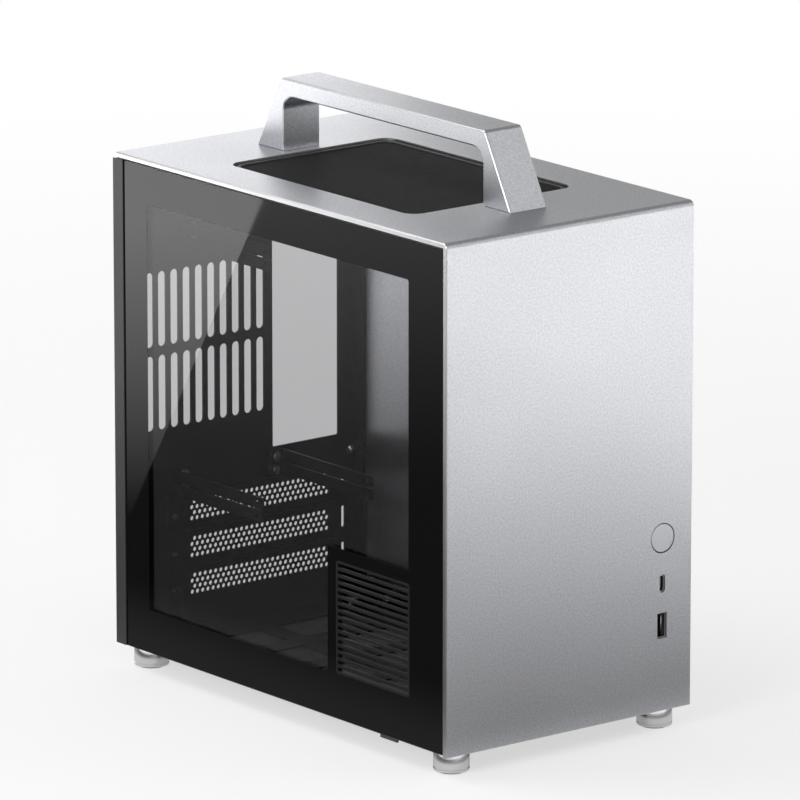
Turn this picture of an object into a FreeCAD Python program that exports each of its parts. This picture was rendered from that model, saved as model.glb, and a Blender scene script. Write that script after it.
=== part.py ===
"""Small computer case: folded steel frame, bent sheet cover with a bar handle, glass side and mesh side.

Millimetres, +Z up. The front looks towards -Y and the glass side towards -X. The origin lies on the
standing surface, under the middle of the case.
"""
import math
import os
import re

import FreeCAD
import Part
import Sketcher

# Driving dimensions. Heights named "level" are measured up from the frame's underside.
SIZES = {
    # frame
    "frame_width": 155.0,
    "frame_depth": 275.0,
    "sheet_gauge": 1.0,
    "fit_gap": 0.1,
    "fold_radius": 0.9,
    "window_corner": 2.0,
    # top plate
    "top_flange": 13.4,
    "top_front_flange": 17.0,
    "vent_width": 96.0,
    "vent_depth": 143.0,
    "vent_corner": 5.0,
    "corner_hole": 7.0,
    "corner_hole_side": 16.8,
    "corner_hole_rear": 19.7,
    "small_hole": 3.8,
    "edge_hole_x": 72.4,
    "edge_hole_inset": 7.2,
    "side_hole_inset": 15.8,
    "side_hole_end": 42.2,
    # bottom tray
    "tray_flange": 12.5,
    "floor_window_width": 48.0,
    "floor_window_depth": 27.5,
    "floor_pitch_x": 60.0,
    "floor_pitch_y": 40.0,
    "floor_rows": 6,
    "drive_spacing_x": 61.72,
    "drive_spacing_y": 76.6,
    "drive_rear_y": -10.0,
    "drive_hole": 3.6,
    "drive_tab": 12.0,
    # front frame
    "front_return": 10.0,
    "upright_width": 14.8,
    "left_column": 58.2,
    "post_width": 10.8,
    "right_column": 29.0,
    "sill_level": 19.7,
    "ladder_window": 29.2,
    "rung_height": 10.15,
    "ladder_header": 11.05,
    "brace_length": 94.0,
    "brace_height": 8.4,
    # rear panel
    "rear_return": 11.0,
    "slit_width": 5.0,
    "slit_length": 40.8,
    "slit_pitch": 8.17,
    "slit_web": 5.0,
    "slit_row_pitch": 45.5,
    "slit_margin": 9.3,
    "slit_level": 114.1,
    "aperture_width": 44.45,
    "aperture_height": 158.75,
    "aperture_margin": 11.3,
    "aperture_level": 92.9,
    "aperture_headroom": 14.35,
    "aperture_corner": 1.0,
    # expansion slots and their blanks
    "slot_pitch": 20.32,
    "slot_count": 3,
    "slot_level": 26.4,
    "slot_opening_width": 97.0,
    "slot_opening_height": 14.6,
    "slot_margin": 17.0,
    "blank_gauge": 0.9,
    "blank_height": 18.4,
    "blank_margin": 11.5,
    "blank_foot": 11.5,
    "ledge_gap": 11.0,
    "ledge_depth": 13.0,
    "ledge_level": 13.0,
    "ledge_height": 67.0,
    "perforation": 5.0,
    "perforation_pitch": 7.2,
    "perforation_columns": 13,
    "slot_key_width": 2.2,
    "slot_key_height": 12.0,
    "slot_key_margin": 8.0,
    # drive rails
    "rail_length": 78.0,
    "rail_height": 13.5,
    "rail_gap": 0.9,
    "rail_root": 6.0,
    "rail_corner": 1.6,
    "rail_tab": 11.0,
    "rail_level": 77.5,
    "left_rail_inset": 32.5,
    "right_rail_inset": 48.5,
    "upper_rail_inset": 38.1,
    "upper_rail_level": 212.2,
    "rail_hole": 2.6,
    "rail_hole_inset": 5.3,
    # small screws of the rails and slot blanks
    "small_screw": 3.0,
    "small_screw_length": 4.0,
    "small_head": 5.2,
    "small_head_height": 2.0,
    # feet
    "foot_height": 11.3,
    "foot_diameter": 18.7,
    "foot_inset_side": 9.9,
    "foot_inset_end": 10.2,
    "foot_chamfer": 0.8,
    "foot_pad": 14.4,
    "foot_pad_height": 2.0,
    "foot_pad_proud": 0.8,
    "foot_pad_edge": 0.3,
    "foot_screw": 4.0,
    "foot_screw_head": 7.6,
    "foot_screw_head_height": 2.4,
    "foot_screw_depth": 6.5,
    "screw_gap": 0.3,
    # filters
    "top_filter_width": 105.2,
    "top_filter_depth": 152.0,
    "top_filter_height": 1.5,
    "top_filter_border": 5.0,
    "top_filter_corner": 8.0,
    "bottom_filter_width": 113.0,
    "bottom_filter_depth": 240.0,
    "bottom_filter_gauge": 1.2,
    "bottom_filter_border": 5.0,
    "bottom_tab_y": -85.0,
    "bottom_tab_width": 14.0,
    "bottom_tab_drop": 3.4,
    "bottom_tab_margin": 2.5,
    "mesh_gauge": 0.6,
    "mesh_bar": 1.6,
    "mesh_cell": 13.5,
    # cover
    "cover_gauge": 2.5,
    "cover_overhang": 4.0,
    "cover_bend": 3.0,
    "cover_window_width": 108.0,
    "cover_window_depth": 155.0,
    "cover_window_corner": 8.5,
    "cover_edge": 0.6,
    "cover_stud_inset": 17.0,
    "cover_stud_level": 8.0,
    # handle
    "handle_length": 211.0,
    "handle_top_length": 169.0,
    "handle_width": 24.4,
    "handle_height": 39.5,
    "handle_bar": 9.5,
    "handle_leg": 22.5,
    "handle_inner_radius": 8.0,
    "handle_outer_radius": 2.5,
    "handle_edge": 0.7,
    "handle_screw": 5.0,
    "handle_screw_depth": 12.0,
    "handle_screw_x": 13.2,
    "handle_screw_y": 189.5,
    "handle_screw_hole": 5.8,
    "handle_screw_head": 8.6,
    "handle_screw_head_height": 3.0,
    # panel studs and their catches
    "stud_diameter": 4.4,
    "stud_length": 8.5,
    "stud_tip": 0.7,
    "catch_gap": 0.3,
    "catch_hole": 6.5,
    "catch_flange": 9.0,
    "catch_flange_height": 1.0,
    "catch_length": 5.0,
    "upright_stud_inset": 6.0,
    "rear_stud_inset": 6.6,
    "left_stud_low": 50.0,
    "left_stud_high": 126.4,
    "right_stud_low": 84.5,
    "right_stud_high": 192.0,
    "brace_stud_near": 22.5,
    "brace_stud_far": 82.5,
    "top_stud_drop": 5.6,
    "top_stud_front": 34.5,
    "top_stud_rear": 50.5,
    "low_stud_level": 7.0,
    "low_stud_end": 36.5,
    # glass side
    "panel_gap": 0.2,
    "glass_thickness": 3.0,
    "glass_front_gap": 0.3,
    "glass_rear_gap": 0.2,
    "glass_margin": 1.0,
    "glass_corner": 1.5,
    "grille_width": 61.0,
    "grille_height": 60.5,
    "grille_margin": 28.0,
    "grille_level": 25.2,
    "grille_gauge": 0.8,
    "grille_slot": 2.0,
    "grille_pitch": 3.7,
    "grille_rows": 16,
    "grille_slot_inset": 1.6,
    "pull_gauge": 0.8,
    "pull_width": 6.0,
    "pull_lip": 2.5,
    "pull_hook": 10.7,
    "pull_hook_gap": 0.3,
    # mesh side
    "right_panel_gap": 0.5,
    "right_panel_gauge": 2.5,
    "right_panel_margin": 0.5,
    "right_panel_end_gap": 0.3,
    "right_panel_corner": 1.0,
    "side_mesh_width": 104.0,
    "side_mesh_height": 108.2,
    "side_mesh_margin": 12.9,
    "side_mesh_level": 117.0,
    "side_mesh_rim": 3.5,
    "side_mesh_gauge": 0.6,
    "guide_stud_inset": 17.5,
    "guide_stud_low": 60.5,
    "guide_stud_high": 81.5,
    # front sockets and power button
    "socket_margin": 15.7,
    "power_level": 92.7,
    "power_hole": 16.0,
    "button_gap": 0.3,
    "button_recess": 0.1,
    "button_travel": 1.5,
    "button_stem": 8.4,
    "button_stem_length": 8.0,
    "housing_flange": 19.0,
    "housing_flange_height": 1.5,
    "housing_body": 13.5,
    "housing_depth": 12.0,
    "usb_a_level": 46.0,
    "usb_a_width": 5.8,
    "usb_a_height": 13.2,
    "usb_a_depth": 14.0,
    "usb_c_level": 68.4,
    "usb_c_width": 3.2,
    "usb_c_height": 8.9,
    "usb_c_depth": 9.0,
    "usb_shell": 0.4,
    "usb_back": 2.0,
    "usb_tongue_recess": 0.8,
    "usb_tongue_margin": 1.2,
    "usb_a_tongue": 1.7,
    "usb_c_tongue": 0.8,
    "usb_recess": 1.0,
    "usb_gap": 0.3,
    "board_gauge": 1.6,
    "board_level": 36.0,
    "board_height": 42.0,
    "board_depth": 24.0,
    "bracket_standoff": 2.7,
    "bracket_level": 33.0,
    "bracket_height": 52.5,
    "bracket_tab_height": 44.0,
    "bracket_depth": 26.0,
    "bracket_notch": 10.0,
    "bracket_boss": 5.0,
    "bracket_boss_inset": 20.0,
    "bracket_boss_low": 57.0,
    "bracket_boss_high": 72.0,
}

# Tests of the model: how near an edge lies to a place (mm), and the least that a cut takes away (mm3)
SAME_PLACE = 0.001
LEAST_CUT = 1e-6

doc = FreeCAD.newDocument("ComputerCase")
sizes = doc.addObject("Spreadsheet::Sheet", "Sizes")
for row, (alias, size) in enumerate(SIZES.items(), start=1):
    sizes.set(f"A{row}", alias.replace("_", " "))
    sizes.set(f"B{row}", str(size))
    sizes.setAlias(f"B{row}", alias)
doc.recompute()


# Expressions on the sheet

def linked(text):
    """An expression with each size's name pointing at its cell."""
    return re.sub(r"[a-z]\w*", lambda found: f"Sizes.{found[0]}" if found[0] in SIZES else found[0], text)


def number(text):
    """The present value of an expression."""
    return float(sizes.evalExpression(linked(text)))


def count(text):
    """The present value of an expression, as a whole number."""
    return int(round(number(text)))


# Sketch outlines; every measure is an expression

def hold(sketch, geometry, vertex, x, y):
    """Dimension one point of a sketch from its origin."""
    for kind, text in (("DistanceX", x), ("DistanceY", y)):
        index = sketch.addConstraint(Sketcher.Constraint(kind, -1, 1, geometry, vertex, number(text)))
        sketch.setExpression(f"Constraints[{index}]", linked(text))


def measure(sketch, kind, geometry, text):
    """Dimension a radius or a diameter."""
    index = sketch.addConstraint(Sketcher.Constraint(kind, geometry, number(text)))
    sketch.setExpression(f"Constraints[{index}]", linked(text))


def flat(x, y):
    return FreeCAD.Vector(x, y, 0)


def circle(sketch, x, y, diameter):
    ring = Part.Circle(flat(number(x), number(y)), FreeCAD.Vector(0, 0, 1), number(diameter) / 2)
    index = sketch.addGeometry(ring)
    hold(sketch, index, 3, x, y)
    measure(sketch, "Diameter", index, diameter)


def polygon(sketch, *points):
    spots = [flat(number(x), number(y)) for x, y in points]
    lines = [sketch.addGeometry(Part.LineSegment(a, b)) for a, b in zip(spots, spots[1:] + spots[:1])]
    for line, after in zip(lines, lines[1:] + lines[:1]):
        sketch.addConstraint(Sketcher.Constraint("Coincident", line, 2, after, 1))
    for line, (x, y) in zip(lines, points):
        hold(sketch, line, 1, x, y)


def rectangle(sketch, x0, x1, y0, y1):
    polygon(sketch, (x0, y0), (x1, y0), (x1, y1), (x0, y1))


def hexagon(sketch, x, y, across):
    half, side = f"({across}) / 2", f"({across}) / 2 / sqrt(3)"
    corners = ((1, -1), (1, 1), (0, 2), (-1, 1), (-1, -1), (0, -2))
    polygon(sketch, *((f"{x} + {u} * ({half})", f"{y} + {v} * ({side})") for u, v in corners))


def arcs_and_lines(sketch, radius, centres, quarters):
    """A closed outline of equal arcs joined by tangent lines, anticlockwise."""
    normal, turn = FreeCAD.Vector(0, 0, 1), math.pi / 2
    curves = []
    for (x, y), (start, end) in zip(centres, quarters):
        ring = Part.Circle(flat(number(x), number(y)), normal, number(radius))
        curves.append(Part.ArcOfCircle(ring, start * turn, end * turn))
    arcs = [sketch.addGeometry(curve) for curve in curves]
    for index, (x, y) in zip(arcs, centres):
        hold(sketch, index, 3, x, y)
        measure(sketch, "Radius", index, radius)
    pairs = zip(arcs, curves, arcs[1:] + arcs[:1], curves[1:] + curves[:1])
    for index, curve, after, next_curve in pairs:
        line = sketch.addGeometry(Part.LineSegment(curve.EndPoint, next_curve.StartPoint))
        sketch.addConstraint(Sketcher.Constraint("Tangent", index, 2, line, 1))
        sketch.addConstraint(Sketcher.Constraint("Tangent", line, 2, after, 1))


def rounded(sketch, x0, x1, y0, y1, radius):
    low_x, high_x = f"({x0}) + ({radius})", f"({x1}) - ({radius})"
    low_y, high_y = f"({y0}) + ({radius})", f"({y1}) - ({radius})"
    centres = ((high_x, low_y), (high_x, high_y), (low_x, high_y), (low_x, low_y))
    arcs_and_lines(sketch, radius, centres, ((3, 4), (0, 1), (1, 2), (2, 3)))


def upright_slot(sketch, x, y0, y1, width):
    radius = f"({width}) / 2"
    centres = ((x, f"({y1}) - {radius}"), (x, f"({y0}) + {radius}"))
    arcs_and_lines(sketch, radius, centres, ((0, 2), (2, 4)))


# Features of a body; low and high are the places along the sketch plane's normal axis

def new_body(label, separate=False):
    """A named sub-part; a group of like fasteners is several separate solids."""
    body = doc.addObject("PartDesign::Body", label)
    body.Label = label
    body.AllowCompound = separate
    return body


def origin(body, role):
    return next(feature for feature in body.Origin.OriginFeatures if feature.Role == role)


def sketch_at(body, name, plane, height, outlines):
    sketch = body.newObject("Sketcher::SketchObject", name)
    sketch.AttachmentSupport = [(origin(body, f"{plane}_Plane"), "")]
    sketch.MapMode = "FlatFace"
    sign = "-1" if plane == "XZ" else "1"
    sketch.setExpression("AttachmentOffset.Base.z", linked(f"{sign} * ({height})"))
    for draw, *measures in outlines:
        draw(sketch, *measures)
    return sketch


def pad(body, name, plane, low, high, *outlines):
    """Material between two places along the plane's axis."""
    start = high if plane == "XZ" else low
    profile = sketch_at(body, f"{name}_outline", plane, start, outlines)
    feature = body.newObject("PartDesign::Pad", name)
    feature.Profile = profile
    feature.setExpression("Length", linked(f"({high}) - ({low})"))
    return feature


def pocket(body, name, plane, low, high, *outlines):
    """A cut between two places along the plane's axis."""
    start = low if plane == "XZ" else high
    profile = sketch_at(body, f"{name}_outline", plane, start, outlines)
    feature = body.newObject("PartDesign::Pocket", name)
    feature.Profile = profile
    feature.setExpression("Length", linked(f"({high}) - ({low})"))
    return feature


def repeat(body, feature, axis, number_of, pitch, second=None):
    """Copies of a feature along one axis, or along two when second gives (axis, number, pitch)."""
    pattern = body.newObject("PartDesign::LinearPattern", f"{feature.Name}_row")
    pattern.Originals = [feature]
    pattern.Direction = (origin(body, f"{axis}_Axis"), [""])
    pattern.Mode = "Spacing"
    pattern.setExpression("Occurrences", linked(number_of))
    pattern.setExpression("Offset", linked(pitch))
    if second:
        axis, number_of, pitch = second
        pattern.Direction2 = (origin(body, f"{axis}_Axis"), [""])
        pattern.Mode2 = "Extent"
        pattern.setExpression("Occurrences2", linked(number_of))
        pattern.setExpression("Length2", linked(f"({pitch}) * (({number_of}) - 1)"))
    body.Tip = pattern
    return pattern


def edges_at(feature, **places):
    """Names of the edges whose every point lies at the given places."""
    doc.recompute()
    names = []
    for index, edge in enumerate(feature.Shape.Edges, start=1):
        box = edge.BoundBox
        spans = {"x": (box.XMin, box.XMax), "y": (box.YMin, box.YMax), "z": (box.ZMin, box.ZMax)}
        if all(abs(end - number(text)) < SAME_PLACE for axis, text in places.items() for end in spans[axis]):
            names.append(f"Edge{index}")
    return names


def dress(body, kind, name, size, *places):
    """A fillet or chamfer on the edges that lie at any of the places."""
    base = body.Tip
    names = sorted({edge for place in places for edge in edges_at(base, **place)})
    feature = body.newObject(f"PartDesign::{kind}", name)
    feature.Base = (base, names)
    feature.setExpression("Radius" if kind == "Fillet" else "Size", linked(size))
    return feature


# Places that several pieces share
left, right = "(-frame_width / 2)", "(frame_width / 2)"
front, rear = "(-frame_depth / 2)", "(frame_depth / 2)"
frame_height = "(aperture_level + aperture_height + aperture_headroom)"
base, top = "foot_height", f"(foot_height + {frame_height})"
left_inside, right_inside = f"({left} + sheet_gauge)", f"({right} - sheet_gauge)"
front_inside = f"({front} + sheet_gauge)"
rear_outside = f"({rear} - sheet_gauge - fit_gap)"
rear_inside = f"({rear_outside} - sheet_gauge)"
tray_front = f"({front_inside} + fit_gap)"
flange_top = f"({base} + tray_flange + fit_gap)"
flange_bottom = f"({top} - top_flange - fit_gap)"
socket_x = f"({right} - socket_margin)"
slot_right = f"({right} - slot_margin)"
slot_left = f"({slot_right} - slot_opening_width)"
ledge_x = f"({slot_left} - ledge_gap)"
cover_side = "(frame_width / 2 + cover_overhang)"
cover_front = f"({front} - cover_gauge)"
cover_top = f"({top} + cover_gauge)"


def level(text):
    """A height above the frame's underside."""
    return f"({base} + {text})"


def both(spacing, *rest):
    """The two places either side of the middle plane."""
    return [(f"{sign} * ({spacing}) / 2", *rest) for sign in ("-1", "1")]


def corners(spacing_x, spacing_y):
    """The four places of a rectangular spacing."""
    return [(x, f"{sign} * ({spacing_y}) / 2") for sign in ("-1", "1") for (x,) in both(spacing_x)]


foot_spots = corners("frame_width - 2 * foot_inset_side", "frame_depth - 2 * foot_inset_end")
handle_screw_spots = corners("handle_screw_x", "handle_screw_y")
cover_stud_spots = both("frame_width - 2 * cover_stud_inset", level("cover_stud_level"))
drive_spots = [(x, y) for y in ("drive_rear_y", "drive_rear_y - drive_spacing_y")
               for (x,) in both("drive_spacing_x")]

# Stud places on the side planes, as (y, z)
front_stud_y, rear_stud_y = f"({front} + upright_stud_inset)", f"({rear} - rear_stud_inset)"
brace_stud_z = f"({flange_bottom} - brace_height / 2)"
top_stud_z = f"({top} - top_stud_drop)"
brace_spots = [(f"({front} + brace_stud_{place})", brace_stud_z) for place in ("near", "far")]
left_front_spots = [(front_stud_y, level(f"left_stud_{place}")) for place in ("low", "high")]
left_rear_spots = [(rear_stud_y, level(f"left_stud_{place}")) for place in ("low", "high")]
right_front_spots = [(front_stud_y, level(f"right_stud_{place}")) for place in ("low", "high")]
right_rear_spots = [(rear_stud_y, level(f"right_stud_{place}")) for place in ("low", "high")]
top_spots = [(f"{front} + top_stud_front", top_stud_z), (f"{rear} - top_stud_rear", top_stud_z)]
low_spots = [(y, level("low_stud_level")) for y in (f"{front} + low_stud_end", f"{rear} - low_stud_end")]
guide_spots = [(f"({front} + guide_stud_inset)", level(f"guide_stud_{place}")) for place in ("low", "high")]
left_spots = left_front_spots + left_rear_spots + brace_spots
right_spots = right_front_spots + right_rear_spots + brace_spots + top_spots + low_spots


def holes(spots, diameter):
    return [(circle, u, v, diameter) for u, v in spots]


# Bottom tray: floor and four flanges folded up
tray = new_body("bottom_tray")
pad(tray, "tray_block", "XY", base, level("tray_flange"), (rectangle, left, right, tray_front, rear))
dress(tray, "Fillet", "tray_folds", "fold_radius",
      {"x": left, "z": base}, {"x": right, "z": base}, {"y": tray_front, "z": base}, {"y": rear, "z": base})
pocket(tray, "tray_inside", "XY", level("sheet_gauge"), level("tray_flange"),
       (rectangle, left_inside, right_inside, f"{tray_front} + sheet_gauge", f"{rear} - sheet_gauge"))
first_y = "-floor_pitch_y * (floor_rows - 1) / 2"
floor_window = pocket(tray, "floor_window", "XY", base, level("sheet_gauge"), (
    rounded, "-(floor_pitch_x + floor_window_width) / 2", "-(floor_pitch_x - floor_window_width) / 2",
    f"{first_y} - floor_window_depth / 2", f"{first_y} + floor_window_depth / 2", "window_corner"))
repeat(tray, floor_window, "X", "2", "floor_pitch_x", ("Y", "floor_rows", "floor_pitch_y"))
pad(tray, "drive_tabs", "XY", base, level("sheet_gauge"), *holes(drive_spots, "drive_tab"))
pocket(tray, "floor_holes", "XY", base, level("sheet_gauge"),
       *holes(drive_spots, "drive_hole"), *holes(foot_spots, "foot_screw + 2 * screw_gap"))
pocket(tray, "tray_stud_holes", "YZ", right_inside, right, *holes(low_spots, "catch_hole"))
pocket(tray, "tray_cover_holes", "XZ", tray_front, f"{tray_front} + sheet_gauge",
       *holes(cover_stud_spots, "catch_hole"))

# Top plate: four flanges folded down, the front one deeper
top_plate = new_body("top_plate")
pad(top_plate, "top_block", "XY", f"{top} - top_front_flange", top, (rectangle, left, right, front, rear))
dress(top_plate, "Fillet", "top_folds", "fold_radius",
      {"x": left, "z": top}, {"x": right, "z": top}, {"y": front, "z": top}, {"y": rear, "z": top})
pocket(top_plate, "top_inside", "XY", f"{top} - top_front_flange", f"{top} - sheet_gauge",
       (rectangle, left_inside, right_inside, front_inside, f"{rear} - sheet_gauge"))
pocket(top_plate, "flange_trim", "XY", f"{top} - top_front_flange", f"{top} - top_flange",
       (rectangle, f"{left} - sheet_gauge", f"{right} + sheet_gauge", front_inside, f"{rear} + sheet_gauge"))
pocket(top_plate, "top_vent", "XY", f"{top} - sheet_gauge", top,
       (rounded, "-vent_width / 2", "vent_width / 2", "-vent_depth / 2", "vent_depth / 2", "vent_corner"))
pocket(top_plate, "top_holes", "XY", f"{top} - sheet_gauge", top,
       *holes(handle_screw_spots, "handle_screw_hole"),
       *holes(both("frame_width - 2 * corner_hole_side", f"{rear} - corner_hole_rear"), "corner_hole"),
       *holes(corners("edge_hole_x", "frame_depth - 2 * edge_hole_inset"), "small_hole"),
       *holes(corners("frame_width - 2 * side_hole_inset", "frame_depth - 2 * side_hole_end"), "small_hole"))
pocket(top_plate, "top_stud_holes", "YZ", right_inside, right, *holes(top_spots, "catch_hole"))

# Front frame: a ladder of windows in two columns, with returns along both sides
ladder = new_body("front_frame")
ladder_top = f"({top} - top_front_flange - fit_gap)"
pad(ladder, "ladder_sheet", "XZ", front, front_inside, (rectangle, left, right, base, ladder_top))
for side, low, high in (("left", left, left_inside), ("right", right_inside, right)):
    pad(ladder, f"{side}_return", "YZ", low, high,
        (rectangle, front, f"{front} + front_return", flange_top, ladder_top))
    pad(ladder, f"{side}_brace", "YZ", low, high,
        (rectangle, f"{front_inside} + fit_gap", f"{front} + brace_length",
         f"{flange_bottom} - brace_height", flange_bottom))
left_column_x = f"({left} + upright_width)"
right_column_x = f"({left_column_x} + left_column + post_width)"
row_pitch = "(ladder_window + rung_height)"
header_level = f"({frame_height} - top_front_flange - fit_gap - ladder_header)"
ladder_rows = f"floor(({header_level} - sill_level) / {row_pitch})"
top_row = f"(sill_level + {ladder_rows} * {row_pitch})"
for side, start in (("left", left_column_x), ("right", right_column_x)):
    window = pocket(ladder, f"{side}_window", "XZ", front, front_inside, (
        rounded, start, f"{start} + {side}_column", level("sill_level"),
        level("sill_level + ladder_window"), "window_corner"))
    repeat(ladder, window, "Z", ladder_rows, row_pitch)
    pocket(ladder, f"{side}_top_window", "XZ", front, front_inside, (
        rounded, start, f"{start} + {side}_column", level(top_row), level(header_level), "window_corner"))
usb_a_half_x, usb_a_half_z = "(usb_a_width / 2 + usb_gap)", "(usb_a_height / 2 + usb_gap)"
usb_c_half_x, usb_c_half_z = "(usb_c_width / 2 + usb_gap)", "(usb_c_height / 2 + usb_gap)"
usb_a_opening = (rectangle, f"{socket_x} - {usb_a_half_x}", f"{socket_x} + {usb_a_half_x}",
                 level(f"usb_a_level - {usb_a_half_z}"), level(f"usb_a_level + {usb_a_half_z}"))
usb_c_opening = (upright_slot, socket_x, level(f"usb_c_level - {usb_c_half_z}"),
                 level(f"usb_c_level + {usb_c_half_z}"), f"2 * {usb_c_half_x}")
power_opening = (circle, socket_x, level("power_level"), "power_hole")
pocket(ladder, "socket_openings", "XZ", front, front_inside,
       usb_a_opening, usb_c_opening, power_opening, *holes(cover_stud_spots, "catch_hole"))
pocket(ladder, "left_stud_holes", "YZ", left, left_inside,
       *holes(left_front_spots + brace_spots, "catch_hole"))
pocket(ladder, "right_stud_holes", "YZ", right_inside, right,
       *holes(right_front_spots + brace_spots, "catch_hole"))

# Rear panel: wall inside the top and bottom flanges, with returns, vent slits and the card slots
rear_panel = new_body("rear_panel")
pad(rear_panel, "rear_sheet", "XZ", rear_inside, rear_outside,
    (rectangle, f"{left_inside} + fit_gap", f"{right_inside} - fit_gap",
     level("sheet_gauge + fit_gap"), f"{top} - sheet_gauge - fit_gap"))
pad(rear_panel, "rear_shoulders", "XZ", rear_inside, rear_outside,
    (rectangle, left, right, flange_top, flange_bottom))
for side, low, high in (("left", left, left_inside), ("right", right_inside, right)):
    pad(rear_panel, f"rear_{side}_return", "YZ", low, high,
        (rectangle, f"{rear} - rear_return", rear_outside, flange_top, flange_bottom))
ledge_low, ledge_high = level("ledge_level"), level("ledge_level + ledge_height")
pad(rear_panel, "slot_ledge", "YZ", f"{ledge_x} - sheet_gauge", ledge_x,
    (rectangle, f"{rear_inside} - ledge_depth", rear_inside, ledge_low, ledge_high))
slit = pocket(rear_panel, "vent_slit", "XZ", rear_inside, rear_outside,
              (upright_slot, f"{left} + slit_margin", level("slit_level"),
               level("slit_level + slit_length"), "slit_width"))
aperture_right = f"({right} - aperture_margin)"
slit_room = f"({aperture_right} - aperture_width - slit_web - {left} - slit_margin)"
repeat(rear_panel, slit, "X", f"floor({slit_room} / slit_pitch) + 1", "slit_pitch",
       ("Z", "2", "slit_row_pitch"))
pocket(rear_panel, "socket_aperture", "XZ", rear_inside, rear_outside, (
    rounded, f"{aperture_right} - aperture_width", aperture_right, level("aperture_level"),
    level("aperture_level + aperture_height"), "aperture_corner"))
slot_opening = pocket(rear_panel, "slot_opening", "XZ", rear_inside, rear_outside, (
    rectangle, slot_left, slot_right,
    level("slot_level - slot_opening_height / 2"), level("slot_level + slot_opening_height / 2")))
repeat(rear_panel, slot_opening, "Z", "slot_count", "slot_pitch")
slot_key = pocket(rear_panel, "slot_key", "XZ", rear_inside, rear_outside, (
    upright_slot, f"{right} - slot_key_margin", level("slot_level - slot_key_height / 2"),
    level("slot_level + slot_key_height / 2"), "slot_key_width"))
repeat(rear_panel, slot_key, "Z", "slot_count", "slot_pitch")
slot_levels = [level(f"slot_level + {index} * slot_pitch") for index in range(count("slot_count"))]
blank_screw_y = f"({rear_inside} - blank_foot / 2 - blank_gauge / 2)"
slot_screw_spots = [(blank_screw_y, z) for z in slot_levels]
small_hole = "(small_screw + 2 * screw_gap)"
pocket(rear_panel, "ledge_holes", "YZ", f"{ledge_x} - sheet_gauge", ledge_x,
       *holes(slot_screw_spots, small_hole))
pocket(rear_panel, "rear_left_stud_holes", "YZ", left, left_inside, *holes(left_rear_spots, "catch_hole"))
pocket(rear_panel, "rear_right_stud_holes", "YZ", right_inside, right,
       *holes(right_rear_spots, "catch_hole"))

# Rails on the rear wall, as (name, x, way the tab points, level)
rails = (("left_drive_rail", f"({left} + left_rail_inset)", "1", "rail_level"),
         ("right_drive_rail", f"({right} - right_rail_inset)", "-1", "rail_level"),
         ("upper_rail", f"({left} + upper_rail_inset)", "1", "upper_rail_level"))


def prong_levels(low):
    """The middles of a rail's lower and upper prong."""
    return [level(f"({low} + rail_height / 2 {sign} (rail_height + rail_gap) / 4)") for sign in "-+"]


def rail_screw_spots(x, way, low):
    """The two screw places in a rail's tab, one in line with each prong."""
    return [(f"({x} + {way} * (sheet_gauge + rail_tab) / 2)", z) for z in prong_levels(low)]


all_rail_screws = [spot for name, *place in rails for spot in rail_screw_spots(*place)]
pocket(rear_panel, "rail_holes", "XZ", rear_inside, rear_outside, *holes(all_rail_screws, small_hole))


def span(start, way, length):
    """The low and high ends of a length laid one way or the other from a place."""
    end = f"({start} + {way} * ({length}))"
    return (start, end) if way == "1" else (end, start)


for name, x, way, low in rails:
    rail = new_body(name)
    rail_front = f"({rear_inside} - rail_length)"
    web, tab = span(x, way, "sheet_gauge"), span(x, way, "rail_tab")
    rail_low, rail_high = level(low), level(f"({low} + rail_height)")
    pad(rail, f"{name}_web", "YZ", *web, (rectangle, rail_front, rear_inside, rail_low, rail_high))
    pad(rail, f"{name}_tab", "XZ", f"{rear_inside} - sheet_gauge", rear_inside,
        (rectangle, *tab, rail_low, rail_high))
    gap_low, gap_high = (level(f"({low} + rail_height / 2 {sign} rail_gap / 2)") for sign in "-+")
    pocket(rail, f"{name}_fork", "YZ", *web,
           (rectangle, rail_front, f"{rear_inside} - rail_root", gap_low, gap_high))
    dress(rail, "Fillet", f"{name}_ends", "rail_corner",
          *({"y": rail_front, "z": z} for z in (rail_low, gap_low, gap_high, rail_high)))
    pocket(rail, f"{name}_drive_holes", "YZ", *web,
           *holes([(f"{rail_front} + rail_hole_inset", z) for z in prong_levels(low)], "rail_hole"))
    pocket(rail, f"{name}_tab_holes", "XZ", f"{rear_inside} - sheet_gauge", rear_inside,
           *holes(rail_screw_spots(x, way, low), small_hole))

rail_screws = new_body("rail_screws", separate=True)
rail_seat = f"({rear_inside} - sheet_gauge)"
pad(rail_screws, "rail_screw_shanks", "XZ", rail_seat, f"{rail_seat} + small_screw_length",
    *holes(all_rail_screws, "small_screw"))
pad(rail_screws, "rail_screw_heads", "XZ", f"{rail_seat} - small_head_height", rail_seat,
    *holes(all_rail_screws, "small_head"))

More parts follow.
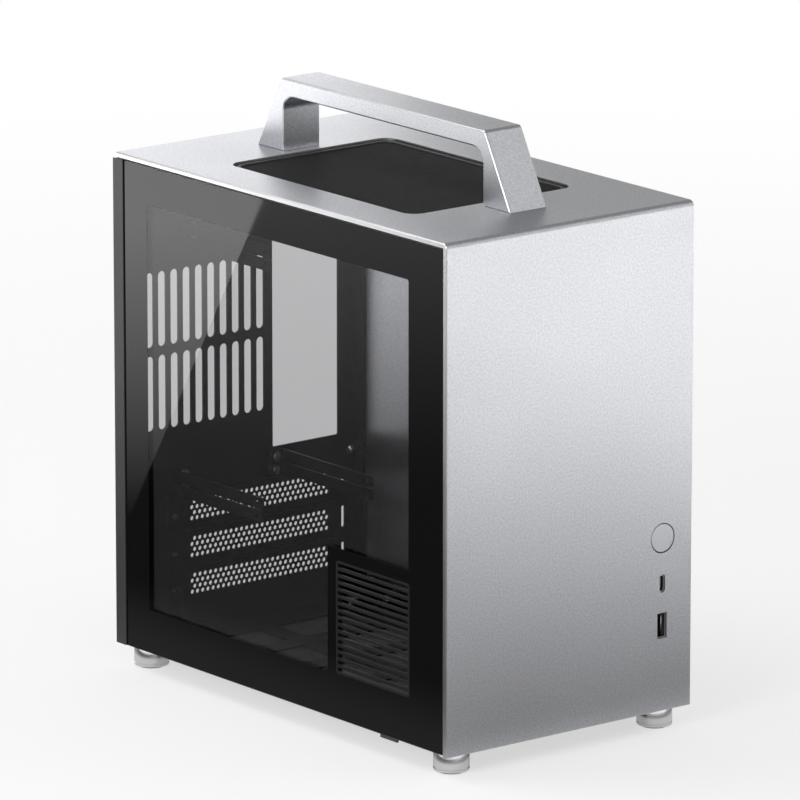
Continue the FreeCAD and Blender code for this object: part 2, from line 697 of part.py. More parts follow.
# Perforated blanks over the card slots, each with a foot screwed to the ledge
for index, z in enumerate(slot_levels, start=1):
    blank = new_body(f"slot_cover_{index}")
    blank_low, blank_high = f"{z} - blank_height / 2", f"{z} + blank_height / 2"
    blank_front = f"({rear_inside} - blank_gauge)"
    pad(blank, f"blank_{index}_strip", "XZ", blank_front, rear_inside,
        (rectangle, ledge_x, f"{right} - blank_margin", blank_low, blank_high))
    pad(blank, f"blank_{index}_foot", "YZ", ledge_x, f"{ledge_x} + blank_gauge",
        (rectangle, f"{rear_inside} - blank_foot", rear_inside, blank_low, blank_high))
    pocket(blank, f"blank_{index}_screw_hole", "YZ", ledge_x, f"{ledge_x} + blank_gauge",
           (circle, blank_screw_y, z, small_hole))
    row_x = f"{slot_left} + slot_opening_width / 2 - perforation_pitch * (perforation_columns - 0.5) / 2"
    row_rise = "perforation_pitch * sqrt(3) / 4"
    for row, (shift, rise) in enumerate((("0", "1"), ("perforation_pitch / 2", "-1"))):
        hole = pocket(blank, f"blank_{index}_hole_{row}", "XZ", blank_front, rear_inside,
                      (hexagon, f"{row_x} + {shift}", f"{z} + {rise} * {row_rise}", "perforation"))
        repeat(blank, hole, "X", "perforation_columns", "perforation_pitch")

slot_screws = new_body("slot_screws", separate=True)
slot_seat = f"({ledge_x} + blank_gauge)"
pad(slot_screws, "slot_screw_shanks", "YZ", f"{slot_seat} - small_screw_length", slot_seat,
    *holes(slot_screw_spots, "small_screw"))
pad(slot_screws, "slot_screw_heads", "YZ", slot_seat, f"{slot_seat} + small_head_height",
    *holes(slot_screw_spots, "small_head"))

# Turned feet with rubber pads, screwed on from inside the tray
foot_radius, pad_radius = "foot_diameter / 2", "foot_pad / 2 + fit_gap"
screw_radius = "foot_screw / 2 + screw_gap"
foot_profile = ((screw_radius, base), (f"{foot_radius} - foot_chamfer", base),
                (foot_radius, f"{base} - foot_chamfer"), (foot_radius, "foot_pad_proud + foot_chamfer"),
                (f"{foot_radius} - foot_chamfer", "foot_pad_proud"), (pad_radius, "foot_pad_proud"),
                (pad_radius, "foot_pad_height"), (screw_radius, "foot_pad_height"))
foot_names = ("front_left", "front_right", "rear_left", "rear_right")
for place, (x, y) in zip(foot_names, foot_spots):
    foot = new_body(f"foot_{place}")
    outline = sketch_at(foot, f"foot_{place}_outline", "XZ", y, [(polygon, *foot_profile)])
    outline.setExpression("AttachmentOffset.Base.x", linked(x))
    turned = foot.newObject("PartDesign::Revolution", f"foot_{place}_turned")
    turned.Profile = outline
    turned.ReferenceAxis = (outline, ["V_Axis"])
    turned.Angle = 360

foot_pads = new_body("foot_pads", separate=True)
pad(foot_pads, "foot_pad_discs", "XY", "0", "foot_pad_height", *holes(foot_spots, "foot_pad"))
dress(foot_pads, "Chamfer", "foot_pad_edges", "foot_pad_edge", {"z": "0"})

foot_screws = new_body("foot_screws", separate=True)
floor_top = level("sheet_gauge")
pad(foot_screws, "foot_screw_shanks", "XY", f"{base} - foot_screw_depth", floor_top,
    *holes(foot_spots, "foot_screw"))
pad(foot_screws, "foot_screw_heads", "XY", floor_top, f"{floor_top} + foot_screw_head_height",
    *holes(foot_spots, "foot_screw_head"))


def mesh_field(body, name, plane, low, high, x0, x1, y0, y1):
    """A grid of openings with bars between, which leaves an open mesh in a thin field."""
    room_x, room_y = f"(({x1}) - ({x0}) + mesh_bar)", f"(({y1}) - ({y0}) + mesh_bar)"
    columns, rows = f"floor({room_x} / mesh_cell)", f"floor({room_y} / mesh_cell)"
    step_x, step_y = f"({room_x} / {columns})", f"({room_y} / {rows})"
    opening = pocket(body, name, plane, low, high, (
        rectangle, x0, f"{x0} + {step_x} - mesh_bar", y0, f"{y0} + {step_y} - mesh_bar"))
    across, along = plane
    repeat(body, opening, across, columns, step_x, (along, rows, step_y))


# Top filter: a bordered mesh lying on the top plate, inside the cover's window
top_filter = new_body("top_filter")
half_w, half_d = "top_filter_width / 2", "top_filter_depth / 2"
pad(top_filter, "top_filter_sheet", "XY", top, f"{top} + top_filter_height",
    (rounded, f"-{half_w}", half_w, f"-{half_d}", half_d, "top_filter_corner"))
field_w, field_d = f"({half_w} - top_filter_border)", f"({half_d} - top_filter_border)"
pocket(top_filter, "top_filter_field", "XY", f"{top} + mesh_gauge", f"{top} + top_filter_height",
       (rounded, f"-{field_w}", field_w, f"-{field_d}", field_d, "top_filter_corner - top_filter_border"))
mesh_field(top_filter, "top_filter_mesh", "XY", top, f"{top} + mesh_gauge",
           f"-{field_w} + mesh_bar", f"{field_w} - mesh_bar", f"-{field_d} + mesh_bar",
           f"{field_d} - mesh_bar")

# Bottom filter: a mesh sheet under the floor, with a pull tab at the left edge
bottom_filter = new_body("bottom_filter")
half_w, half_d = "bottom_filter_width / 2", "bottom_filter_depth / 2"
filter_low = f"({base} - bottom_filter_gauge)"
pad(bottom_filter, "bottom_filter_sheet", "XY", filter_low, base,
    (rounded, f"-{half_w}", half_w, f"-{half_d}", half_d, "window_corner"))
tab_low, tab_high = "bottom_tab_y - bottom_tab_width / 2", "bottom_tab_y + bottom_tab_width / 2"
tab_x = f"({left} + bottom_tab_margin)"
pad(bottom_filter, "bottom_filter_tab", "XY", filter_low, base,
    (rectangle, tab_x, f"-{half_w} + bottom_filter_gauge", tab_low, tab_high))
pad(bottom_filter, "bottom_filter_lip", "YZ", tab_x, f"{tab_x} + bottom_filter_gauge",
    (rectangle, tab_low, tab_high, f"{base} - bottom_tab_drop", base))
mesh_field(bottom_filter, "bottom_filter_mesh", "XY", filter_low, base,
           f"-{half_w} + bottom_filter_border", f"{half_w} - bottom_filter_border",
           f"-{half_d} + bottom_filter_border", f"{half_d} - bottom_filter_border")

# Cover: front and top bent from one sheet
cover = new_body("cover")
pad(cover, "cover_sheet", "YZ", f"-{cover_side}", cover_side, (
    polygon, (cover_front, base), (front, base), (front, top), (rear, top), (rear, cover_top),
    (cover_front, cover_top)))
dress(cover, "Fillet", "cover_bend_line", "cover_bend", {"y": cover_front, "z": cover_top})
dress(cover, "Chamfer", "cover_edges", "cover_edge",
      {"x": f"-{cover_side}", "z": cover_top}, {"x": cover_side, "z": cover_top}, {"y": rear, "z": cover_top},
      {"x": f"-{cover_side}", "y": cover_front}, {"x": cover_side, "y": cover_front},
      {"y": cover_front, "z": base})
window_w, window_d = "cover_window_width / 2", "cover_window_depth / 2"
pocket(cover, "cover_window", "XY", top, cover_top,
       (rounded, f"-{window_w}", window_w, f"-{window_d}", window_d, "cover_window_corner"))
pocket(cover, "cover_screw_holes", "XY", top, cover_top, *holes(handle_screw_spots, "handle_screw_hole"))
pocket(cover, "cover_openings", "XZ", cover_front, front, usb_a_opening, usb_c_opening, power_opening)

# Handle: a solid bar with legs that are upright inside and slope outside
handle = new_body("handle")
foot_end, bar_end = "handle_length / 2", "handle_top_length / 2"
leg_inside = f"({foot_end} - handle_leg)"
bar_top, bar_low = f"({cover_top} + handle_height)", f"({cover_top} + handle_height - handle_bar)"
handle_side = "handle_width / 2"
pad(handle, "handle_bar_and_legs", "YZ", f"-{handle_side}", handle_side, (
    polygon, (f"-{foot_end}", cover_top), (f"-{leg_inside}", cover_top), (f"-{leg_inside}", bar_low),
    (leg_inside, bar_low), (leg_inside, cover_top), (foot_end, cover_top), (bar_end, bar_top),
    (f"-{bar_end}", bar_top)))
dress(handle, "Fillet", "handle_inside_bends", "handle_inner_radius",
      {"y": f"-{leg_inside}", "z": bar_low}, {"y": leg_inside, "z": bar_low})
dress(handle, "Fillet", "handle_outside_bends", "handle_outer_radius",
      {"y": f"-{bar_end}", "z": bar_top}, {"y": bar_end, "z": bar_top})
dress(handle, "Chamfer", "handle_edges", "handle_edge", {"x": f"-{handle_side}"}, {"x": handle_side})
pocket(handle, "handle_bores", "XY", cover_top, f"{cover_top} + handle_screw_depth + screw_gap",
       *holes(handle_screw_spots, "handle_screw + 2 * screw_gap"))

handle_screws = new_body("handle_screws", separate=True)
screw_seat = f"({top} - sheet_gauge)"
pad(handle_screws, "handle_screw_shanks", "XY", screw_seat, f"{cover_top} + handle_screw_depth",
    *holes(handle_screw_spots, "handle_screw"))
pad(handle_screws, "handle_screw_heads", "XY", f"{screw_seat} - handle_screw_head_height", screw_seat,
    *holes(handle_screw_spots, "handle_screw_head"))


def studs(name, plane, seat, way, spots):
    """Pins with chamfered tips standing on a panel's inner face."""
    body = new_body(name, separate=True)
    low, high = span(seat, way, "stud_length")
    pad(body, f"{name}_pins", plane, low, high, *holes(spots, "stud_diameter"))
    tip = high if way == "1" else low
    dress(body, "Chamfer", f"{name}_tips", "stud_tip", {"y" if plane == "XZ" else "x": tip})


def catches(name, plane, sheet, way, thickness, spots):
    """Bushes in the frame's holes; the flange lies on the sheet's inner face."""
    body = new_body(name, separate=True)
    inner = f"({sheet} + {way} * ({thickness}))"
    barrel = span(f"({sheet} + {way} * fit_gap)", way, f"{thickness} - fit_gap + catch_length")
    flange = span(inner, way, "catch_flange_height")
    pad(body, f"{name}_barrels", plane, *barrel, *holes(spots, "catch_hole - 2 * fit_gap"))
    pad(body, f"{name}_flanges", plane, *flange, *holes(spots, "catch_flange"))
    pocket(body, f"{name}_bores", plane, *barrel, *holes(spots, "stud_diameter + 2 * catch_gap"))


studs("cover_studs", "XZ", front, "1", cover_stud_spots)
catches("cover_catches", "XZ", front, "1", "2 * sheet_gauge + fit_gap", cover_stud_spots)

# Glass side: pane with a vent grille set in an opening and a folded pull along the rear edge
glass_inner = f"({left} - panel_gap)"
glass_outer = f"({glass_inner} - glass_thickness)"
glass_front, glass_rear = f"({front} + glass_front_gap)", f"({rear} - glass_rear_gap)"
glass_low, glass_high = level("glass_margin"), f"({top} - glass_margin)"
grille_front = f"({front} + grille_margin)"
grille_rear = f"({grille_front} + grille_width)"
grille_low, grille_high = level("grille_level"), level("(grille_level + grille_height)")
glass = new_body("glass_pane")
pad(glass, "glass_sheet", "YZ", glass_outer, glass_inner,
    (rounded, glass_front, glass_rear, glass_low, glass_high, "glass_corner"))
pocket(glass, "grille_opening", "YZ", glass_outer, glass_inner,
       (rounded, grille_front, grille_rear, grille_low, grille_high, "window_corner"))

grille = new_body("vent_grille")
grille_seat = f"({glass_outer} + grille_gauge)"
pan = (f"{grille_front} + fit_gap", f"{grille_rear} - fit_gap",
       f"{grille_low} + fit_gap", f"{grille_high} - fit_gap")
pad(grille, "grille_pan", "YZ", glass_outer, glass_inner, (rounded, *pan, "window_corner - fit_gap"))
pan_inside = (f"{grille_front} + grille_slot_inset", f"{grille_rear} - grille_slot_inset",
              f"{grille_low} + grille_slot_inset", f"{grille_high} - grille_slot_inset")
pocket(grille, "grille_pan_inside", "YZ", grille_seat, glass_inner, (rectangle, *pan_inside))
first_slot = f"(({grille_low} + {grille_high} - grille_pitch * (grille_rows - 1) - grille_slot) / 2)"
grille_cut = pocket(grille, "grille_cut", "YZ", glass_outer, grille_seat,
                    (rectangle, *pan_inside[:2], first_slot, f"{first_slot} + grille_slot"))
repeat(grille, grille_cut, "Z", "grille_rows", "grille_pitch")

pull = new_body("pull_strip")
pull_outer = f"({glass_outer} - pull_gauge)"
hook_low, hook_high = f"{rear} + pull_hook_gap", f"{rear} + pull_hook_gap + pull_gauge"
hook_x = f"{glass_outer} + pull_hook"
pad(pull, "pull_section", "XY", glass_low, glass_high, (
    polygon, (pull_outer, f"{rear} - pull_width"), (glass_outer, f"{rear} - pull_width"),
    (glass_outer, hook_low), (hook_x, hook_low), (hook_x, hook_high), (glass_outer, hook_high),
    (glass_outer, f"{rear} + pull_lip"), (pull_outer, f"{rear} + pull_lip")))

studs("glass_studs", "YZ", glass_inner, "1", left_spots)
catches("left_catches", "YZ", left, "1", "sheet_gauge", left_spots)

# Mesh side: sheet panel with a mesh plate behind its window
panel_inner = f"({right} + right_panel_gap)"
panel_outer = f"({panel_inner} + right_panel_gauge)"
panel_front, panel_rear = f"{front} + right_panel_end_gap", f"{rear} - right_panel_end_gap"
mesh_front = f"({front} + side_mesh_margin)"
mesh_rear = f"({mesh_front} + side_mesh_width)"
mesh_low, mesh_high = level("side_mesh_level"), level("(side_mesh_level + side_mesh_height)")
window = (f"{mesh_front} + side_mesh_rim", f"{mesh_rear} - side_mesh_rim",
          f"{mesh_low} + side_mesh_rim", f"{mesh_high} - side_mesh_rim")
right_panel = new_body("right_panel")
pad(right_panel, "right_panel_sheet", "YZ", panel_inner, panel_outer, (
    rounded, panel_front, panel_rear, level("right_panel_margin"), f"{top} - right_panel_margin",
    "right_panel_corner"))
pocket(right_panel, "right_panel_window", "YZ", panel_inner, panel_outer,
       (rounded, *window, "window_corner"))

side_mesh = new_body("side_mesh")
mesh_sheet = f"({panel_inner} - side_mesh_gauge)"
pad(side_mesh, "side_mesh_sheet", "YZ", mesh_sheet, panel_inner,
    (rectangle, mesh_front, mesh_rear, mesh_low, mesh_high))
mesh_field(side_mesh, "side_mesh_hole", "YZ", mesh_sheet, panel_inner, *window)

studs("right_studs", "YZ", panel_inner, "-1", right_spots + guide_spots)
catches("right_catches", "YZ", right, "-1", "sheet_gauge", right_spots)

# Front sockets on an upright board, held by a bracket behind the front frame
board_x = f"({socket_x} + usb_a_width / 2)"
bracket_x = f"({board_x} + board_gauge + bracket_standoff)"
board_front = f"({front_inside} + usb_gap)"
board = new_body("io_board")
pad(board, "board_sheet", "YZ", board_x, f"{board_x} + board_gauge",
    (rectangle, board_front, f"{board_front} + board_depth", level("board_level"),
     level("board_level + board_height")))

bracket = new_body("io_bracket")
bracket_high = level("bracket_level + bracket_height")
bracket_rear, notch_rear = f"{front_inside} + bracket_depth", f"{front_inside} + bracket_notch"
tab_high = level("bracket_level + bracket_tab_height")
pad(bracket, "bracket_web", "YZ", bracket_x, f"{bracket_x} + sheet_gauge", (
    polygon, (front_inside, level("bracket_level")), (bracket_rear, level("bracket_level")),
    (bracket_rear, bracket_high), (notch_rear, bracket_high), (notch_rear, tab_high),
    (front_inside, tab_high)))
pad(bracket, "bracket_tab", "XZ", front_inside, f"{front_inside} + sheet_gauge",
    (rectangle, bracket_x, f"{right_inside} - fit_gap", level("bracket_level"), tab_high))
boss_spots = [(f"{front_inside} + bracket_boss_inset", level(f"bracket_boss_{place}"))
              for place in ("low", "high")]
pad(bracket, "bracket_bosses", "YZ", f"{board_x} + board_gauge", bracket_x,
    *holes(boss_spots, "bracket_boss"))
pocket(bracket, "bracket_guide_holes", "YZ", bracket_x, f"{bracket_x} + sheet_gauge",
       *holes(guide_spots, "stud_diameter + 2 * catch_gap"))

socket_front = f"({cover_front} + usb_recess)"
usb_a = new_body("usb_a_socket")
usb_a_sides = (f"{socket_x} - usb_a_width / 2", f"{socket_x} + usb_a_width / 2",
               level("usb_a_level - usb_a_height / 2"), level("usb_a_level + usb_a_height / 2"))
usb_a_rear = f"({socket_front} + usb_a_depth)"
pad(usb_a, "usb_a_shell", "XZ", socket_front, usb_a_rear, (rectangle, *usb_a_sides))
usb_a_floor = f"({usb_a_rear} - usb_back)"
pocket(usb_a, "usb_a_mouth", "XZ", socket_front, usb_a_floor, (
    rectangle, f"{usb_a_sides[0]} + usb_shell", f"{usb_a_sides[1]} - usb_shell",
    f"{usb_a_sides[2]} + usb_shell", f"{usb_a_sides[3]} - usb_shell"))
pad(usb_a, "usb_a_blade", "XZ", f"{socket_front} + usb_tongue_recess", usb_a_floor, (
    rectangle, f"{socket_x} + usb_shell", f"{socket_x} + usb_shell + usb_a_tongue",
    f"{usb_a_sides[2]} + usb_tongue_margin", f"{usb_a_sides[3]} - usb_tongue_margin"))

usb_c = new_body("usb_c_socket")
usb_c_low, usb_c_high = level("usb_c_level - usb_c_height / 2"), level("usb_c_level + usb_c_height / 2")
usb_c_rear = f"({socket_front} + usb_c_depth)"
pad(usb_c, "usb_c_shell", "XZ", socket_front, usb_c_rear,
    (upright_slot, socket_x, usb_c_low, usb_c_high, "usb_c_width"))
pad(usb_c, "usb_c_seat", "XZ", board_front, usb_c_rear,
    (rectangle, socket_x, board_x, f"{usb_c_low} + usb_c_width / 2", f"{usb_c_high} - usb_c_width / 2"))
usb_c_floor = f"({usb_c_rear} - usb_back)"
pocket(usb_c, "usb_c_mouth", "XZ", socket_front, usb_c_floor,
       (upright_slot, socket_x, f"{usb_c_low} + usb_shell", f"{usb_c_high} - usb_shell",
        "usb_c_width - 2 * usb_shell"))
pad(usb_c, "usb_c_blade", "XZ", f"{socket_front} + usb_tongue_recess", usb_c_floor,
    (rectangle, f"{socket_x} - usb_c_tongue / 2", f"{socket_x} + usb_c_tongue / 2",
     f"{usb_c_low} + usb_tongue_margin", f"{usb_c_high} - usb_tongue_margin"))

# Power button: a cap in the cover's hole, with a stem that slides in the switch housing
power_z = level("power_level")
button_front = f"({cover_front} + button_recess)"
cap_rear = f"({front_inside} - button_travel - button_gap)"
stem_rear = f"({cap_rear} + button_stem_length)"
button = new_body("power_button")
pad(button, "button_cap", "XZ", button_front, cap_rear,
    (circle, socket_x, power_z, "power_hole - 2 * button_gap"))
pad(button, "button_stem", "XZ", cap_rear, stem_rear, (circle, socket_x, power_z, "button_stem"))
dress(button, "Chamfer", "button_edge", "button_gap", {"y": button_front})

housing = new_body("switch_housing")
pad(housing, "housing_flange", "XZ", front_inside, f"{front_inside} + housing_flange_height",
    (circle, socket_x, power_z, "housing_flange"))
pad(housing, "housing_body", "XZ", f"{front_inside} + housing_flange_height",
    f"{front_inside} + housing_depth", (circle, socket_x, power_z, "housing_body"))
bore_end = f"({stem_rear} + button_travel + button_gap)"
pocket(housing, "housing_bore", "XZ", front_inside, bore_end,
       (circle, socket_x, power_z, "button_stem + 2 * button_gap"))

# Every object is checked before anything is written
doc.recompute()
bodies = [item for item in doc.Objects if item.TypeId == "PartDesign::Body"]
for item in doc.Objects:
    if "Invalid" in item.State or "Error" in item.State:
        raise RuntimeError(f"{item.Label} failed: {item.State}")
for body in bodies:
    if body.Shape.isNull() or not body.Shape.isValid() or not body.Shape.Solids:
        raise RuntimeError(f"{body.Label} has no valid solid")
    for feature in body.Group:
        is_cut = feature.TypeId == "PartDesign::Pocket"
        if is_cut and feature.Shape.Volume >= feature.BaseFeature.Shape.Volume - LEAST_CUT:
            raise RuntimeError(f"{feature.Label} cuts nothing")

os.makedirs("parts", exist_ok=True)
for body in bodies:
    body.Shape.exportStep(f"parts/{body.Label}.step")
print(f"{len(bodies)} sub-parts, {sum(len(body.Shape.Solids) for body in bodies)} solids")
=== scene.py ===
"""Looks of a small computer case: blasted silver cover and handle, dark glass side, black folded frame."""

import math

import bmesh
import bpy
from bpy.props import FloatProperty, FloatVectorProperty, IntProperty, PointerProperty
from mathutils import Matrix, Vector


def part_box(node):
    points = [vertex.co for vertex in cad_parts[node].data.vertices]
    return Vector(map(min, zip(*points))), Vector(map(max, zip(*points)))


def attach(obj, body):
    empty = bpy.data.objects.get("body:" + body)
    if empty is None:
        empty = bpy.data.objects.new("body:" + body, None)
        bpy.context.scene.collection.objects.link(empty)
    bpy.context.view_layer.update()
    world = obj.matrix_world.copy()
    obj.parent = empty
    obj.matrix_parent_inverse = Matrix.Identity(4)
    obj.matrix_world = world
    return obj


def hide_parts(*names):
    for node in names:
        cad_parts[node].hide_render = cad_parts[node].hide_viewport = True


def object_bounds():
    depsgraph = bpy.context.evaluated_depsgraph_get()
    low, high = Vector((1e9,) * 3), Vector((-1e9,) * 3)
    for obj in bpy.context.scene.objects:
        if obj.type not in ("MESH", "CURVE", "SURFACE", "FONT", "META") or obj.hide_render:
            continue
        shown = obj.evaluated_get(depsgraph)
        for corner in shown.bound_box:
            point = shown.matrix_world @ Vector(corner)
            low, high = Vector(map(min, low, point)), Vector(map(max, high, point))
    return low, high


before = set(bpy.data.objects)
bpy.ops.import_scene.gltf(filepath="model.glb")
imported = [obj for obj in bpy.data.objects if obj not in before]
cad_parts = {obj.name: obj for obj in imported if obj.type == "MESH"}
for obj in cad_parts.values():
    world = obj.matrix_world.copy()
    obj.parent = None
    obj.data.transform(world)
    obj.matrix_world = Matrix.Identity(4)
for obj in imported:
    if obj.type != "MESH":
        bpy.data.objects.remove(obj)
cad_low, cad_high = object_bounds()

bl_info = {
    "name": "Computer case looks",
    "version": (1, 0, 0),
    "blender": (4, 5, 0),
    "location": "3D View > Sidebar > Case",
    "description": "Dresses the packed computer case with its finishes, meshes and studio",
    "category": "Object",
}

MM = 0.001
GLASS_IOR = 1.36


# User settings

def colour(name, description, default):
    return FloatVectorProperty(name=name, description=description, subtype="COLOR", size=3,
                               min=0.0, max=1.0, default=default)


def length(name, description, default):
    return FloatProperty(name=name, description=description, unit="LENGTH", precision=5,
                         min=0.0, default=default)


def angle(name, description, degrees):
    return FloatProperty(name=name, description=description, subtype="ANGLE", default=math.radians(degrees))


def power(name, description, default):
    return FloatProperty(name=name, description=description, unit="POWER", min=0.0, default=default)


def brightness(name, description, default):
    return FloatProperty(name=name, description=description, min=0.0, default=default)


class CaseFinishes(bpy.types.PropertyGroup):
    """Colours of the case's finishes."""

    silver: colour("Silver", "Blasted and anodised aluminium", (0.625, 0.632, 0.66))
    cut_edge: colour("Cut edge", "Bright milled edges of the silver sheet", (0.66, 0.66, 0.67))
    coat: colour("Coat", "Textured black coat of the folded steel", (0.012, 0.012, 0.0128))
    satin_black: colour("Satin black", "Paint of the vent grille", (0.011, 0.011, 0.012))
    pull_grey: colour("Pull grey", "Steel strip along the glass", (0.06, 0.06, 0.064))
    tint: colour("Tint", "Body colour of the dark glass", (0.5, 0.5, 0.51))
    ground: colour("Ground edge", "Ground edges of the dark glass", (0.2, 0.205, 0.21))
    print_black: colour("Print black", "Glossy black border of the glass", (0.006, 0.006, 0.0065))
    mesh_black: colour("Mesh black", "Filter wires and perforated sheet", (0.012, 0.012, 0.0125))
    filter_rim: colour("Filter rim", "Moulded frames of the filters", (0.03, 0.03, 0.031))
    filter_tab: colour("Filter tab", "Pull tabs of the filters", (0.075, 0.075, 0.08))
    zinc: colour("Zinc", "Screws and studs", (0.66, 0.66, 0.67))
    moulded: colour("Moulded black", "Moulded plastic parts", (0.018, 0.018, 0.019))
    chrome: colour("Chrome", "Turned and polished feet", (0.86, 0.86, 0.87))
    rubber: colour("Rubber", "Pads under the feet", (0.03, 0.03, 0.03))
    gold: colour("Gold", "Contacts of the sockets", (0.83, 0.6, 0.22))
    board: colour("Board", "Solder mask of the socket board", (0.012, 0.05, 0.03))


class CaseDetails(bpy.types.PropertyGroup):
    """Sizes of the fine details."""

    edge_round: length("Edge rounding", "Broken edges of sheet and bar", 0.2 * MM)
    glass_edge: length("Glass edge", "Ground edge round the pane", 0.45 * MM)
    window_front: length("Window front", "Printed border in front of the clear glass", 28.7 * MM)
    window_rear: length("Window rear", "Printed border behind the clear glass", 25.8 * MM)
    window_low: length("Window low", "Printed border under the clear glass", 23.7 * MM)
    window_high: length("Window high", "Printed border over the clear glass", 20.5 * MM)
    grille_field: length("Grille field", "Printed margin round the vent grille", 6.9 * MM)
    print_cover: length("Print cover", "Clear gap between the border and the pane", 0.03 * MM)
    print_thickness: length("Print thickness", "Black layer of the border", 0.05 * MM)
    filter_pitch: length("Filter pitch", "Distance between filter wires", 1.15 * MM)
    filter_wire: length("Filter wire", "Thickness of a filter wire", 0.42 * MM)
    side_pitch: length("Side pitch", "Distance between the side mesh's holes", 2.0 * MM)
    side_hole: length("Side hole", "Hole across the side mesh", 1.15 * MM)
    slot_pitch: length("Slot pitch", "Distance between the slot covers' holes", 3.5 * MM)
    slot_hole: length("Slot hole", "Hole across the slot covers", 2.5 * MM)
    slot_rows: IntProperty(name="Slot row pairs", description="Pairs of hole rows in a slot cover",
                           min=1, max=4, default=2)


class CaseStage(bpy.types.PropertyGroup):
    """Camera and light of the studio."""

    azimuth: angle("Azimuth", "Camera's angle round the case, 0 looks at the front", -38.46)
    elevation: angle("Elevation", "Camera's angle above the horizon", 13.98)
    distance: length("Distance", "From the camera to the middle of the case", 4.615)
    lens: FloatProperty(name="Lens", description="Focal length", unit="CAMERA", min=1.0, default=398.0)
    key_power: power("Key light", "Power of the large soft light", 17.0)
    left_power: power("Left light", "Power of the light beside the glass", 12.0)
    front_power: power("Front light", "Power of the light over the floor in front", 44.0)
    fill_power: power("Fill light", "Power of the weak light before the handle", 1.5)
    room: brightness("Room", "Strength of the light from all round", 0.62)
    floor_grey: colour("Floor grey", "Floor as reflections and bounced light see it", (0.35, 0.35, 0.35))
    floor_lift: brightness("Floor lift", "Added brightness of the floor to the eye", 0.62)
    # painted shade: darkens the floor beside the glass as reflections see it, with nothing there to cast it
    flag: FloatProperty(name="Flag", subtype="FACTOR", min=0.0, max=1.0, default=0.92,
                        description="How far the floor beside the glass is shaded in reflections")
    top_glow: brightness("Top glow", "Brightness of the card that the cover's top mirrors", 1.5)
    sheen: brightness("Sheen", "Brightness of the card that the glass mirrors", 3.4)


# Meshes

WELD = 0.002 * MM  # corners nearer than this are one
FLAT_ANGLE = math.radians(0.5)  # neighbours that turn less than this are one flat face
SMOOTH_ANGLE = math.radians(40.0)  # neighbours that turn less than this are shaded as one curve
SHARP_ANGLE = math.radians(35.0)  # edges that turn more than this are broken
EDGE_STEPS = 2  # faces across a broken edge
FACE_WEIGHT = 100  # how firmly large faces keep flat shading up to a broken edge
CORNER_STEPS = 6  # edges round the rounded corner of an outline
HEXAGON_SIDE = math.pi / 3  # a hexagon's side, as an angle seen from its middle


def keep(name, mesh):
    """A finished piece at the origin, with its place in its mesh."""
    piece = bpy.data.objects.new(name, mesh)
    bpy.context.scene.collection.objects.link(piece)
    return piece


def from_bmesh(name, made, materials):
    """A piece from a bmesh, smooth except at its sharp edges."""
    mesh = bpy.data.meshes.new(name)
    made.to_mesh(mesh)
    made.free()
    for coating in materials:
        mesh.materials.append(coating)
    mesh.polygons.foreach_set("use_smooth", [True] * len(mesh.polygons))
    mesh.set_sharp_from_angle(angle=SMOOTH_ANGLE)
    return keep(name, mesh)


def merged(node):
    """A bmesh copy of a CAD node with its loose triangles joined into flat faces."""
    made = bmesh.new()
    made.from_mesh(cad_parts[node].data)
    bmesh.ops.remove_doubles(made, verts=made.verts, dist=WELD)
    bmesh.ops.dissolve_limit(made, angle_limit=FLAT_ANGLE, use_dissolve_boundaries=False,
                             verts=made.verts, edges=made.edges)
    return made


def converted(carrier):
    """The evaluated form of an object as a plain mesh."""
    graph = bpy.context.evaluated_depsgraph_get()
    return bpy.data.meshes.new_from_object(carrier.evaluated_get(graph), depsgraph=graph)


def eased(piece, width):
    """Breaks a piece's sharp edges, as a deburred or ground part has them."""
    bevel = piece.modifiers.new("edges", "BEVEL")
    bevel.width = width
    bevel.segments = EDGE_STEPS
    bevel.limit_method = "ANGLE"
    bevel.angle_limit = SHARP_ANGLE
    flat = piece.modifiers.new("flat faces", "WEIGHTED_NORMAL")
    flat.weight = FACE_WEIGHT
    flat.keep_sharp = True
    plain = converted(piece)
    old = piece.data
    piece.modifiers.clear()
    piece.data = plain
    bpy.data.meshes.remove(old)
    return piece


def box(made, low, high):
    """Adds a box between two corners to a bmesh."""
    low, high = Vector(low), Vector(high)
    to_place = Matrix.Translation((low + high) / 2) @ Matrix.Diagonal((*(high - low), 1.0))
    bmesh.ops.create_cube(made, size=1.0, matrix=to_place)


def lathe(made, profile, segments, hexagon_rings=()):
    """Turns a (radius, height) profile about Z; the rings named are hexagons of that half width."""
    rings = []
    for index, (radius, height) in enumerate(profile):
        ring = []
        for step in range(segments):
            turn = 2 * math.pi * step / segments
            bulge = math.cos((turn + HEXAGON_SIDE / 2) % HEXAGON_SIDE - HEXAGON_SIDE / 2)
            reach = radius / bulge if index in hexagon_rings else radius
            ring.append(made.verts.new((reach * math.cos(turn), reach * math.sin(turn), height)))
        rings.append(ring)
    for low, high in zip(rings, rings[1:]):
        for step in range(segments):
            after = (step + 1) % segments
            made.faces.new((low[step], low[after], high[after], high[step]))
    for ring in (rings[0], rings[-1]):
        made.faces.new(ring)
    bmesh.ops.recalc_face_normals(made, faces=made.faces)


def outline(corners, radius):
    """The points of a closed outline, with its corners rounded."""
    points = []
    for index, corner in enumerate(corners):
        before = (Vector(corners[index - 1]) - Vector(corner)).normalized()
        after = (Vector(corners[(index + 1) % len(corners)]) - Vector(corner)).normalized()
        centre = Vector(corner) + (before + after) * radius
        for step in range(CORNER_STEPS + 1):
            turn = math.pi / 2 * step / CORNER_STEPS
            points.append(centre - radius * (after * math.cos(turn) + before * math.sin(turn)))
    return points


def rectangle(u0, u1, v0, v1):
    """Four corners, in order round the sheet."""
    return ((u0, v0), (u1, v0), (u1, v1), (u0, v1))


